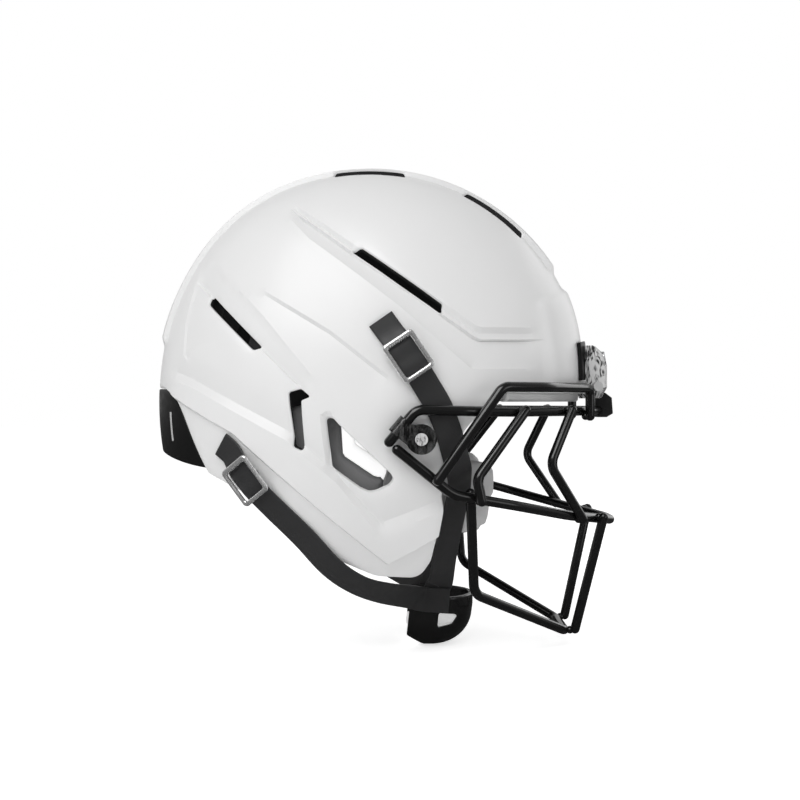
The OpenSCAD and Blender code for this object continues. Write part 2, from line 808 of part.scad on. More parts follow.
// Half section of the bowl: radius outwards, height down from the rim
module bowl_section(inset) {
    r = cup_r - inset;
    corner = cup_corner - inset;
    floor_z = -(cup_h - inset);
    intersection() {
        union() {
            translate([0, floor_z])
                square([r - corner, -floor_z]);
            translate([0, floor_z + corner])
                square([r, -floor_z - corner]);
            translate([r - corner, floor_z + corner])
                circle(corner);
        }
        translate([0, floor_z])
            square([r, -floor_z]);
    }
}

// Bowl: half round in front, straight sides behind
module bowl(inset, rise = 0) {
    translate([cup_x, 0, cup_top])
        union() {
            rotate([0, 0, -90])
                rotate_extrude(angle = 180)
                    bowl_section(inset);
            rotate([90, 0, -90])
                linear_extrude(40)
                    union() {
                        bowl_section(inset);
                        mirror([1, 0, 0])
                            bowl_section(inset);
                    }
            if (rise > 0)
                translate([0, 0, rise / 2])
                    cube([200, 2 * (cup_r - inset), rise], center = true);
        }
}

module cup_trim() {
    rotate([90, 0, 0])
        linear_extrude(200, center = true)
            polygon([
                [cup_back + 2, cup_top + 1], [100, cup_top + 1], [100, cup_top - cup_h - 1],
                [54, cup_top - cup_h - 1], [cup_back - 2, cup_top - cup_h + 9],
                [cup_back, cup_top - 7]
            ]);
}

module chin_cup() {
    color([0.06, 0.06, 0.06])
        difference() {
            intersection() {
                bowl(0);
                cup_trim();
            }
            bowl(cup_wall, 10);
            translate([cup_x, 0, cup_top])
                rotate([90, 0, 0])
                    linear_extrude(200, center = true)
                        polygon([[5.8, -10.8], [17.4, -12.1], [12.7, -17.6], [4.5, -19]]);
        }
}

module chin_cup_pad() {
    pad = 5;
    color([0.1, 0.1, 0.1])
        difference() {
            intersection() {
                bowl(cup_wall + seat_gap);
                cup_trim();
                translate([0, 0, cup_top - cup_h])
                    cube([400, 400, 2 * 14], center = true);
            }
            bowl(cup_wall + seat_gap + pad, 10);
        }
}

// Wires run straight between points [x, y, z, bend radius] and turn on arcs
function point(p) = [p[0], p[1], p[2]];
function heading(a, b) = unit(point(b) - point(a));
function turn_at(a, p, b) = acos(max(-1, min(1, heading(a, p) * heading(p, b))));

// Points along the arc of one bend
function bend(a, p, b) =
    let(
        u = heading(a, p),
        w = heading(p, b),
        turn = turn_at(a, p, b),
        back = p[3] * tan(turn / 2),
        side = unit(w - u * (u * w)),
        centre = point(p) - u * back + side * p[3],
        steps = max(1, ceil(turn / bend_step))
    )
    [for (k = [0:steps])
        centre - side * p[3] * cos(turn * k / steps) + u * p[3] * sin(turn * k / steps)];

function centre_line(points) =
    let(last = len(points) - 1)
    concat(
        [point(points[0])],
        [for (i = [1:last - 1], p = bend(points[i - 1], points[i], points[i + 1])) p],
        [point(points[last])]
    );

// Frame carried along the line without twist: each side direction follows from the last
function carried(line, i, side) =
    let(t = unit(line[min(len(line) - 1, i + 1)] - line[max(0, i - 1)]))
    unit(side - t * (side * t));
function frames(line) = [
    for (
        i = 0, side = carried(line, 0, [0.13, 0.21, 1]);
        i < len(line);
        i = i + 1, side = i < len(line) ? carried(line, i, side) : side
    ) side
];

// Closed tube along a line of points, with domed ends
module tube(line, r, sides) {
    last = len(line) - 1;
    side = frames(line);
    start = unit(line[0] - line[1]);
    end = unit(line[last] - line[last - 1]);
    // Rings as [centre, radius, direction along, side direction]
    rings = concat(
        [[line[0] + start * r * 0.8, r * 0.6, -start, side[0]]],
        [for (i = [0:last])
            [line[i], r, unit(line[min(last, i + 1)] - line[max(0, i - 1)]), side[i]]],
        [[line[last] + end * r * 0.8, r * 0.6, end, side[last]]]
    );
    n = len(rings);
    points = concat(
        [for (g = rings)
            let(a = unit(g[3] - g[2] * (g[3] * g[2])), b = cross(g[2], a))
            for (k = [0:sides - 1])
                g[0] + (a * cos(360 * k / sides) + b * sin(360 * k / sides)) * g[1]],
        [line[0] + start * r, line[last] + end * r]
    );
    faces = concat(
        [for (i = [0:n - 2], k = [0:sides - 1])
            [i * sides + k, (i + 1) * sides + k, i * sides + (k + 1) % sides]],
        [for (i = [0:n - 2], k = [0:sides - 1])
            [i * sides + (k + 1) % sides, (i + 1) * sides + k, (i + 1) * sides + (k + 1) % sides]],
        [for (k = [0:sides - 1]) [n * sides, k, (k + 1) % sides]],
        [for (k = [0:sides - 1])
            [n * sides + 1, (n - 1) * sides + (k + 1) % sides, (n - 1) * sides + k]]
    );
    polyhedron(points, faces, convexity = 8);
}

module wire(points, r = wire_r) tube(centre_line(points), r, wire_sides);

// Straight round rod between two points
module rod(a, b, r = wire_r) {
    v = b - a;
    l = norm(v);
    translate(a)
        rotate([0, acos(v[2] / l), atan2(v[1], v[0])])
            cylinder(h = l, r = r);
}

module black_wire(points, side = side_left) {
    mirror([0, side == side_right ? 1 : 0, 0])
        color([0.04, 0.04, 0.04])
            wire(points);
}

// Distance between the axes of two wires that cross
crossing = wire_d + weld_gap;

// Points placed by hand: their front follows the brow bar, their width the shell's width
drawn_bar_x = 169;
fixed_x = 108;
follow_x = 147;
function follow(x) =
    x + (brow_bar_x - drawn_bar_x) * max(0, min(1, (x - fixed_x) / (follow_x - fixed_x)));
function placed(p) = [for (k = [0:len(p) - 1]) k == 0 ? follow(p[0]) : k == 1 ? p[1] * wide : p[k]];
function widened(points) = [for (p = points) placed(p)];

// Left halves of the cross wires, from the side clip to the middle
eye_half = widened([
    [29, 118.2, 3, 0], [45.5, 118.2, 22.5, 9], [80, 110.5, 21.5, 60],
    [108, 89, 21, 60], [147, 53, 21, 30], [176.8, 7, 21, 8]
]);
ring_half = widened([
    [33.7, 118.2, -1.7, 0], [68, 107, -30, 25], [108, 86, -38.4, 60],
    [147, 57, -47.8, 40], [183.2, 9, -55.4, 10]
]);
function mirrored(points) = [for (i = [len(points) - 1:-1:0])
    [points[i][0], -points[i][1], points[i][2], points[i][3]]];

// Point of a half wire's straight run and the way out of the guard there
function run(half, i, t) = mix(point(half[i]), point(half[i + 1]), t);
function outward(half, i) =
    let(d = unit(point(half[i + 1]) - point(half[i])))
    unit([-d[1], d[0], 0]) * (d[0] > 0 ? 1 : -1);
function outside(half, i, t, dz = 0) =
    let(p = run(half, i, t) + outward(half, i) * crossing)
    [p[0], p[1], p[2] + dz];
function inside(half, i, t, dz = 0) =
    let(p = run(half, i, t) - outward(half, i) * crossing)
    [p[0], p[1], p[2] + dz];
function bent(p, r) = [p[0], p[1], p[2], r];

module eye_wire() black_wire(concat(eye_half, mirrored(eye_half)));
module ring_wire() black_wire(concat(ring_half, mirrored(ring_half)));

// Brow bar: the straight bar across the front on which the guard turns
brow_bar_half = 42;
module brow_bar() {
    color([0.04, 0.04, 0.04])
        translate([brow_bar_x, 0, brow_bar_z])
            rotate([90, 0, 0])
                cylinder(h = 2 * brow_bar_half, r = wire_r, center = true);
}

// Brow wire: from the ring wire up over the eye wire, forward to the bar and down again
brow_wire_z = brow_bar_z - 1.1;
module brow_wire(side) {
    foot = outside(ring_half, 0, 0.66);
    drop = outside(eye_half, 4, 0.375, -3.5);
    black_wire([
        bent(foot, 0), placed([98.5, 110.5, brow_wire_z, 8]), placed([128, 91, brow_wire_z, 40]),
        [drop[0], drop[1], brow_wire_z, 5], bent(drop, 0)
    ], side);
}
module brow_wire_right() brow_wire(side_right);
module brow_wire_left() brow_wire(side_left);

module chevron_wire(side) {
    top = outside(eye_half, 3, 0.92, 1);
    foot = outside(ring_half, 3, 0.11, -1.8);
    black_wire([bent(top, 0), placed([132.5, 71.5, -13.5, 10]), bent(foot, 0)], side);
}
module chevron_wire_right() chevron_wire(side_right);
module chevron_wire_left() chevron_wire(side_left);

module cheek_wire(side) {
    top = outside(eye_half, 3, 0.05, 1);
    foot = outside(ring_half, 1, 0.37, -1);
    black_wire([bent(top, 0), [83, foot[1], -20, 9], bent(foot, 0)], side);
}
module cheek_wire_right() cheek_wire(side_right);
module cheek_wire_left() cheek_wire(side_left);

jaw_low = placed([149.3, 22.3, -130.6]);
module jaw_wire() {
    top = inside(ring_half, 1, 0.37, 3);
    half = [
        bent(top, 0), placed([83.2, 73.4, -96.5, 13]), bent(jaw_low, 9)
    ];
    black_wire(concat(half, mirrored(half)));
}

module mouth_wire(side) {
    top = outside(ring_half, 3, 0.6, 1);
    foot = jaw_low + [6.6, 2.2, 1.5];
    black_wire([bent(top, 0), bent(foot, 0)], side);
}
module mouth_wire_right() mouth_wire(side_right);
module mouth_wire_left() mouth_wire(side_left);

// Bar bumper: a rubber block over the middle of the eye wire
bumper_half_w = 12;
module bar_bumper() {
    middle = [bent(run(eye_half, 4, 0.5), 0), eye_half[5]];
    color([0.05, 0.05, 0.05])
        difference() {
            translate([brow_bar_x, 0, 0])
                rotate([90, 0, 0])
                    linear_extrude(2 * bumper_half_w, center = true)
                        polygon([
                            [3.5, 33.5], [10, 33.5], [14.6, 30], [15.4, 19],
                            [11, 16.4], [5, 16.4], [3.2, 24]
                        ]);
            wire(concat(middle, mirrored(middle)), wire_r + bar_clearance);
            translate([brow_bar_x, 0, brow_bar_z])
                rotate([90, 0, 0])
                    cylinder(h = 80, r = wire_r + bar_clearance, center = true);
        }
}

// Side clip: a boss over the socket and a jaw round the slanting end of the eye wire
module side_clip(side) {
    jaw_a = run(eye_half, 0, 0.22);
    jaw_b = run(eye_half, 0, 0.66);
    centre = [socket_x, 0, socket_z];
    mirror([0, side == side_right ? 1 : 0, 0])
        color([0.35, 0.36, 0.37])
            difference() {
                union() {
                    translate([socket_x, side_clip_y, socket_z])
                        rotate([-90, 0, 0])
                            cylinder(h = boss_t, r = boss_r);
                    rod(jaw_a, jaw_b, wire_r + 2);
                    translate([0, side_clip_y + boss_t, 0])
                        rotate([90, 0, 0])
                            linear_extrude(boss_t - 1)
                                polygon([
                                    [jaw_a[0] + 2, jaw_a[2] - 2], [socket_x - 4, socket_z - 7],
                                    [socket_x + 2, socket_z + 8], [jaw_b[0] + 2, jaw_b[2] - 2]
                                ]);
                }
                wire([eye_half[0], eye_half[1], bent(run(eye_half, 1, 0.5), 0)],
                    wire_r + bar_clearance);
                translate([0, side_clip_y - 20, 0])
                    cube([200, 40, 200], center = true);
                translate([socket_x, 0, socket_z])
                    rotate([-90, 0, 0])
                        cylinder(h = 200, r = button_r + bar_clearance);
            }
}
module side_clip_right() side_clip(side_right);
module side_clip_left() side_clip(side_left);

// Release button: pushed in, it lets the side clip's pin out of the socket
module release_button(side) {
    mirror([0, side == side_right ? 1 : 0, 0])
        color([0.82, 0.82, 0.83])
            translate([socket_x, side_clip_y + button_travel, socket_z])
                rotate([-90, 0, 0])
                    difference() {
                        cylinder(h = boss_t, r = button_r);
                        translate([0, 0, boss_t - 1])
                            cylinder(h = 2, r = button_r * 0.5, $fn = 6);
                    }
}
module release_button_right() release_button(side_right);
module release_button_left() release_button(side_left);

shell();
rear_bumper();
front_bumper();
front_pad();
crown_pad();
rear_pad();
side_pad_right();
side_pad_left();
ear_pad_right();
ear_pad_left();
jaw_pad_right();
jaw_pad_left();
front_clip_right();
front_clip_left();
clip_screws();
clip_nuts();
side_sockets();
snap_studs();
snap_caps();
buckle_upper_right();
buckle_upper_left();
buckle_lower_right();
buckle_lower_left();
strap_upper_right();
strap_upper_left();
strap_lower_right();
strap_lower_left();
chin_cup();
chin_cup_pad();
brow_bar();
brow_wire_right();
brow_wire_left();
eye_wire();
ring_wire();
chevron_wire_right();
chevron_wire_left();
cheek_wire_right();
cheek_wire_left();
jaw_wire();
mouth_wire_right();
mouth_wire_left();
bar_bumper();
side_clip_right();
side_clip_left();
release_button_right();
release_button_left();
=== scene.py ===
import bpy, bmesh
import numpy as np
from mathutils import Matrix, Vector
from mathutils.geometry import delaunay_2d_cdt


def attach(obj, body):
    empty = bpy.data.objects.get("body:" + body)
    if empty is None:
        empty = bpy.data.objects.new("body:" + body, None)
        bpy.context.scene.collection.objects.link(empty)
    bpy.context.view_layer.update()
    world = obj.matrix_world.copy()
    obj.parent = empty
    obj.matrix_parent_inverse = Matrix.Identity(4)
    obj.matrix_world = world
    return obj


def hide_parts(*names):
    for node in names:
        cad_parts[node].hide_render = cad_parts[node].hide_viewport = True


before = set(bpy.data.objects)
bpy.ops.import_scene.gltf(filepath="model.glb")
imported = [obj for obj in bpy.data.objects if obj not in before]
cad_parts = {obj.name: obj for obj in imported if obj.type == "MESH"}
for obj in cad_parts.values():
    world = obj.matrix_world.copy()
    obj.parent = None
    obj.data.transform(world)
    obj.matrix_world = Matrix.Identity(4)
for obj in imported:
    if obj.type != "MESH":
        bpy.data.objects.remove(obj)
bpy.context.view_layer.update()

# ---- Camera
# The photograph looks square at the helmet's right side, level with its middle, from
# 789 mm off the middle plane, through a lens of 50 mm on a 36 mm frame.
camera = bpy.data.objects.new("camera", bpy.data.cameras.new("camera"))
bpy.context.collection.objects.link(camera)
camera.data.lens = 50
camera.data.sensor_width = 36
camera.location = (0.0355, -0.789, 0.0284)
camera.rotation_euler = (np.radians(90), 0, 0)
bpy.context.scene.camera = camera

# ---- Shell
# Injection-moulded white polymer, 4 mm thick, with a raised crown band, stepped grooves
# that end in vent slots, ear holes, and jaw flaps. The liner and the guard are fixed to it.
half_w, wall = 115.0, 4.0
pole = np.array([10.0, 25.0])
reaches = np.array([151.5, 161, 163, 161, 157.5, 148.5, 143, 147, 154, 158, 158, 154.75])


def catmull(a, b, c, d, t):
    """Place on the Catmull-Rom curve from b to c, t going from 0 to 1."""
    return b + t / 2 * (c - a + t * (2 * a - 5 * b + 4 * c - d + t * (3 * (b - c) + d - a)))


def reach(deg):
    """Distance from the pole to the middle profile: a Catmull-Rom curve through the
    reaches, one every 30 degrees."""
    turn = np.asarray(deg) % 360 / 30
    i = np.floor(turn).astype(int)
    return catmull(*(reaches[(i + j) % 12] for j in (-1, 0, 1, 2)), turn - i)


def squareness(deg):
    """Power of the section across, least straight ahead and behind."""
    return 2 + 0.4 * np.sin(np.radians(deg)) ** 2


def taper(z):
    """Share of the width that is left where the flaps draw in towards the chin."""
    return 1 - 0.1 * np.clip((pole[1] - z) / 110, 0, 1) ** 1.5


def polar(q, deg, off):
    """Point at the share q of the reach in a direction of the side view: half width is
    (1 - q^n)^(1/n) of the greatest, n being the squareness of that direction."""
    a = np.radians(deg)
    n = squareness(deg)
    x = pole[0] + (reach(deg) + off) * q * np.cos(a)
    z = pole[1] + (reach(deg) + off) * q * np.sin(a)
    y = (half_w + off) * np.clip(1 - q ** n, 0, 1) ** (1 / n) * taper(z)
    return np.stack([x, y, z], -1)


def share(points):
    """Share of the reach and direction of points given in the side view."""
    d = np.asarray(points, float) - pole
    deg = np.degrees(np.arctan2(d[..., 1], d[..., 0])) % 360
    return np.minimum(np.hypot(d[..., 0], d[..., 1]) / reach(deg), 1), deg


def on_form(points, off=0.0):
    """Points of the form over points of the side view, on the left side."""
    return polar(*share(points), off)


def chart(q, deg):
    """Flat map of one half: radius is the arc sine of the share, so it stays even up to
    the middle line, where the radius is 1."""
    r = np.arcsin(np.clip(q, 0, 1)) * 2 / np.pi
    return np.stack([r * np.cos(np.radians(deg)), r * np.sin(np.radians(deg))], -1)


def unchart(c, off=0.0):
    """Points of the form, or off it, over places in the chart."""
    r = np.minimum(np.hypot(c[:, 0], c[:, 1]), 1)
    deg = np.degrees(np.arctan2(c[:, 1], c[:, 0])) % 360
    return polar(np.sin(r * np.pi / 2), deg, off)


def at_width(y, deg):
    """Chart points where the form lies y mm from the middle plane."""
    n = squareness(deg)
    return chart((1 - (y / half_w) ** n) ** (1 / n), deg)


def rounded(corners, radii, step=1.2):
    """Closed outline with each corner turned on an arc of its radius."""
    corners = np.asarray(corners, float)
    out = []
    for a, p, b, r in zip(np.roll(corners, 1, 0), corners, np.roll(corners, -1, 0), radii):
        u, w = (a - p) / np.linalg.norm(a - p), (b - p) / np.linalg.norm(b - p)
        half = np.arccos(np.clip(u @ w, -1, 1)) / 2
        back = min(r / np.tan(half), 0.48 * np.linalg.norm(a - p), 0.48 * np.linalg.norm(b - p))
        r = back * np.tan(half)
        centre = p + (u + w) / np.linalg.norm(u + w) * r / np.sin(half)
        s, e = p + u * back - centre, p + w * back - centre
        n = max(2, int(r * (np.pi - 2 * half) / step) + 1)
        turn = np.arctan2(s[0] * e[1] - s[1] * e[0], s @ e)
        t = np.linspace(0, turn, n)
        out.append(centre + np.outer(np.cos(t), s) + np.outer(np.sin(t), [-s[1], s[0]]))
    return dense(np.vstack(out), step * 1.3, True)


def dense(line, step, closed=False):
    """The same line with points no further apart than the step."""
    line = np.asarray(line, float)
    out = []
    for a, b in zip(line, np.roll(line, -1, 0) if closed else line[1:]):
        n = max(1, int(np.ceil(np.linalg.norm(b - a) / step)))
        out.append(a + (b - a) * (np.arange(n) / n)[:, None])
    return np.vstack(out if closed else out + [line[-1:]])


def beside(p, line):
    """Distance of points from a line of the side view, the side they are on (1 is to the
    left of its run), and how far along it the nearest point lies, from 0 to 1."""
    line = np.asarray(line, float)
    a, d = line[:-1], np.diff(line, axis=0)
    size = np.hypot(d[:, 0], d[:, 1])
    t = np.clip(((p[:, None] - a) * d).sum(-1) / size ** 2, 0, 1)
    r = p[:, None] - a - t[..., None] * d
    dist = np.hypot(r[..., 0], r[..., 1])
    k = dist.argmin(1)
    i = np.arange(len(p))
    start = np.concatenate([[0], np.cumsum(size)[:-1]])
    return (dist[i, k], np.sign(d[k, 0] * r[i, k, 1] - d[k, 1] * r[i, k, 0]),
            (start[k] + t[i, k] * size[k]) / size.sum())


def ease(t):
    t = np.clip(t, 0, 1)
    return t * t * (3 - 2 * t)


def unit(v):
    return v / (np.linalg.norm(v, axis=-1, keepdims=True) + 1e-12)


def shifted(line, d):
    """The line moved sideways by a distance, to the right of its run."""
    line = np.asarray(line, float)
    run = unit(np.diff(line, axis=0))
    t = unit(np.vstack([run[:1], run[:-1] + run[1:], run[-1:]]))
    across = np.stack([t[:, 1], -t[:, 0]], -1)
    square = np.stack([run[:, 1], -run[:, 0]], -1)
    square = np.vstack([square, square[-1:]])
    return line + across * d / np.maximum((across * square).sum(1), 0.4)[:, None]


upper_top = np.array([(-36.1, 156.6), (7.5, 124.8), (64.5, 87.1), (82.5, 74.8), (87, 73.6), (131.5, 75)])
upper_line = np.array([(-37.8, 153.6), (5.7, 120.2), (60.7, 82), (82, 67.4), (86, 65.8), (131.3, 67.2)])
upper_base = [(-38.5, 151.5), (-20, 131), (35.5, 88.4), (80.6, 49.6), (137.5, 50.6)]
rear_top = [(-93.5, 126.3), (-50.4, 81.8), (-18.4, 43.4)]
rear_line = [(-101.1, 108.4), (-86, 93.9), (-50.3, 59.3), (-19.9, 30.2)]
crease = [(-58.8, 102.6), (-7.2, 71.1), (35.5, 37.5)]
panel_edge = [(-93.5, 126.3), (-101, 100.8), (-105.2, 77.5), (-105.7, 57.4), (-100.8, 50.2)]
ridge_top = [(-118, 49), (-99.7, 42.6), (-34.9, 10), (-6, -14.4), (23.1, -49), (49.8, -38.8),
             (66, -32), (95, -20)]
ridge_mid = [(-122, 45), (-95, 35.5), (-34, 4), (-3, -22), (23.5, -56), (50, -44.5), (66, -38),
             (95, -26)]
ridge_low = [(-125.9, 38.6), (-67.4, 8.4), (27.9, -73), (55.6, -57.5), (66, -52), (95, -40)]
# Each groove or ridge: its lines from the top down and the height of the skin on each
upper_steps = ([upper_top, 0.6 * upper_top + 0.4 * upper_line, shifted(upper_line, -0.6),
                upper_line, shifted(upper_line, 0.6), upper_base, shifted(upper_base, 2)],
               [0, -2.2, -1.2, -3.6, -2.9, -1, 0])
rear_steps = ([rear_top, shifted(rear_top, 2), shifted(rear_line, -0.4), shifted(rear_line, 0.4),
               shifted(rear_line, 11)], [0, -0.9, -2.9, -1.3, 0])
ridge_steps = ([shifted(ridge_top, -14), ridge_top, ridge_mid, ridge_low, shifted(ridge_low, 2.2),
                shifted(ridge_low, 9)], [0, -2.0, 1.6, 3.0, 0.3, 0])
band_y, panel_y, slope = 33.0, 68.0, 2.4
band_rise, panel_rise = 3.0, 2.5
crease_drop, panel_drop, ear_drop = 2.0, 0.9, 3.5


def fade(along, first, last):
    """Falls from 1 to 0 over the first and last shares of a line's run."""
    return ease(along / first) * ease((1 - along) / last)


def steps(p, lines, heights):
    """Height of a groove or ridge: linear between each line and the next, by the share of
    the distances to the two, and fading near both its ends."""
    near = [beside(p, line) for line in lines]
    h = np.zeros(len(p))
    for (d0, s0, _), (d1, s1, _), h0, h1 in zip(near, near[1:], heights, heights[1:]):
        h = np.where((s0 <= 0) & (s1 > 0), h0 + (h1 - h0) * d0 / (d0 + d1 + 1e-9), h)
    return h * fade(near[len(near) // 2][2], 0.07, 0.1)


def relief(points):
    """Height of the outer skin off the plain form, from all its bands and grooves."""
    p = points[:, [0, 2]]
    y = np.abs(points[:, 1])
    deg = share(p)[1]
    h = steps(p, *upper_steps) + steps(p, *rear_steps) + steps(p, *ridge_steps)
    d, s, along = beside(p, crease)
    fall = np.clip(d / 2, 0, 1) * (1 - np.clip((d - 2) / 26, 0, 1))
    h += np.where(s < 0, -crease_drop, 0) * fall * fade(along, 0.22, 0.15)
    d, s, along = beside(p, panel_edge)
    fall = np.clip(d / 1.2, 0, 1) * (1 - ease((d - 1) / 24))
    h += np.where(s > 0, -panel_drop, 0) * fall * fade(along, 0.3, 0.1)
    d, s, along = beside(p, ear_back)
    fall = np.where(s < 0, np.clip(1 - d / 4.4, 0, 1), 1 - ease(d / 5))
    h -= ear_drop * fall * fade(along, 0.14, 0.14)
    ends = ease((deg - 34) / 2.5) * ease((164 - deg) / 3)
    h += band_rise * ease((band_y + slope - y) / slope) * ends
    brow = np.where(deg < 90, ease((31 - deg) / 2.5), ease((deg - 325) / 5))
    h += panel_rise * ease((panel_y + 6 - y) / 10) * brow
    return h


outline = rounded([(98, 33), (76, 10), (62.5, -20), (62.5, -40), (55.5, -74), (48, -86),
                   (20, -84), (-12, -69), (-33, -51), (-61, -31), (-93, -16), (-150, -3),
                   (-160, 230), (200, 230), (200, 33)],
                  [6, 30, 12, 25, 10, 12, 25, 30, 40, 30, 6, 1, 1, 1, 1])
ear_hole = rounded([(-9.9, 17.4), (-5, 17), (-1.8, 13.4), (30, -17), (31.8, -20.9), (29, -24.5),
                    (20.9, -28.2), (16.6, -28.8), (11.1, -26.4), (-6.5, -13.6)],
                   [2, 2.5, 3, 3, 3, 3, 3, 3, 4, 3], 0.8)
ear_back = np.array([(-9.1, 21), (-5.2, -17)])
hook_slot = rounded([(-32.9, 33.2), (-25.4, 35.3), (-19.3, 30.4), (-25.1, 28.2), (-23.6, -3.2),
                     (-29.3, -0.2)], [1.7, 1.4, 0.8, 1.5, 1.2, 1.2], 0.6)
upper_slot = rounded([(12.3, 123), (62.1, 88), (62.1, 81.8), (5.3, 121.8)], [1.8, 1.5, 1.2, 0.7], 0.7)
rear_slot = rounded([(-86.8, 96.4), (-51, 61.3), (-56.3, 59.6), (-88.7, 90.6)], [0.6, 1.2, 2.4, 2.4], 0.7)


def band_slot(deg0, deg1, y, w):
    """Outline of a slot in the wall of the crown band, worked out over angle and width."""
    band_r, half = 160, w / 2
    x0, x1 = -half, np.radians(deg1 - deg0) * band_r + half
    flat = rounded([(x0, half), (x1, half), (x1, -half), (x0, -half)], [w * 0.36] * 4, 0.9)
    return at_width(y + flat[:, 1], deg0 + np.degrees(flat[:, 0] / band_r))


nape_top = 175.5


def nape_lat(u):
    """Latitude of the rear bumper's side edge, u being 0 at its top and 1 at its bottom."""
    return 24 + 19.5 * u ** 0.38


def bumper_edge(grow):
    """Edge of the rear bumper from the middle line round to its lower corner."""
    u = np.linspace(0, 1, 40)
    lat, deg = nape_lat(u) + grow, nape_top + 29 * u
    deg[0] -= grow
    lat = np.concatenate([np.linspace(0, lat[0], 20)[:-1], lat])
    deg = np.concatenate([np.full(19, nape_top - grow), deg])
    return np.cos(np.radians(lat)) ** (2 / squareness(deg)), deg


def inside_of(c, loop):
    """Whether points of the chart lie within a closed loop (even-odd crossings)."""
    a, b = loop, np.roll(loop, -1, 0)
    out = np.zeros(len(c), bool)
    for p, q in zip(a, b):
        hit = (p[1] > c[:, 1]) != (q[1] > c[:, 1])
        if p[1] != q[1]:
            out ^= hit & (c[:, 0] < p[0] + (c[:, 1] - p[1]) * (q[0] - p[0]) / (q[1] - p[1]))
    return out


def in_sheet(c, loops):
    """Whether points of the chart lie within the first loop and outside the others."""
    return inside_of(c, loops[0]) & ~np.any([inside_of(c, hole) for hole in loops[1:]], 0)


def brow_line(n):
    """Chart points of the brow's level edge, evenly spaced from its side to the middle."""
    r = np.linspace(np.hypot(*chart(*share((110, 33)))), 1, n)
    q, deg = np.sin(r * np.pi / 2), np.full(n, 4.0)
    for _ in range(20):
        deg = np.degrees(np.arcsin(8 / (q * reach(deg))))
    return chart(q, deg)


# The half's edge: over the middle line, down beside the bumper, round below, up the front
# of the flap and along the brow back to the middle
brow_edge_z = 33.0
brow = brow_line(70)
top_deg = np.degrees(np.arctan2(brow[-1, 1], brow[-1, 0]))
middle = chart(np.ones(330), np.linspace(top_deg, 175.25, 330))
edge_q, edge_deg = bumper_edge(0.25)
edge_side = polar(edge_q, edge_deg, 0)[:, [0, 2]]
within = np.nonzero(inside_of(edge_side, outline))[0][-1]
lower = outline[(outline[:, 1] < brow_edge_z + 0.01) & (outline[:, 0] < 109)
                & (outline[:, 0] > edge_side[within, 0] + 1)]
lower = lower[np.argsort(np.unwrap(np.arctan2(lower[:, 1] - 60, lower[:, 0] - 10)))]
half_edge = np.vstack([middle[:-1], chart(edge_q, edge_deg)[:within + 1], chart(*share(lower)),
                       brow[:-1]])
holes = [chart(*share(loop)) for loop in (ear_hole, hook_slot, upper_slot, rear_slot)]
holes += [band_slot(deg0, deg1, band_y + 4.4, 7.6) for deg0, deg1 in ((80.6, 95.7), (47.8, 62.8))]


def inward(loop, dist, sign):
    """The loop moved over the surface by a distance, square to its run: the step in the
    chart is the least-squares answer to the wanted step in space."""
    e = 1e-4
    p = unchart(loop)
    ju, jv = ((unchart(loop + move) - p) / e for move in ([e, 0], [0, e]))
    want = np.cross(np.cross(ju, jv), np.roll(p, -1, 0) - np.roll(p, 1, 0))
    want *= sign * dist / (np.linalg.norm(want, axis=1, keepdims=True) + 1e-9)
    g11, g12, g22 = (ju * ju).sum(1), (ju * jv).sum(1), (jv * jv).sum(1)
    b1, b2 = (ju * want).sum(1), (jv * want).sum(1)
    det = g11 * g22 - g12 ** 2 + 1e-9
    return loop + np.stack([(g22 * b1 - g12 * b2) / det, (g11 * b2 - g12 * b1) / det], -1)


def area_of(loop):
    """Area within a loop, negative if it runs clockwise."""
    a, b = loop, np.roll(loop, -1, 0)
    return 0.5 * (a[:, 0] * b[:, 1] - a[:, 1] * b[:, 0]).sum()


def filled(points, sink, grid, edges, loops, least):
    """Triangles between the points and a grid, within the first loop and outside the others,
    and how far each vertex sinks, which is nothing for those that aren't of the points."""
    every = [Vector(v) for v in np.vstack([points, grid]).tolist()]
    out = delaunay_2d_cdt(every, edges, [], 0, least)
    verts, tris = np.array([tuple(v) for v in out[0]]), np.array(out[2])
    tris = tris[in_sheet(verts[tris].mean(1), loops)]
    a = verts[tris]
    flip = np.cross(a[:, 1] - a[:, 0], a[:, 2] - a[:, 0]) < 0
    tris[flip] = tris[flip][:, ::-1]
    first = np.array([o[0] if o else -1 for o in out[3]])
    known = (first >= 0) & (first < len(sink))
    return verts, tris, np.where(known, sink[np.where(known, first, 0)], 0)


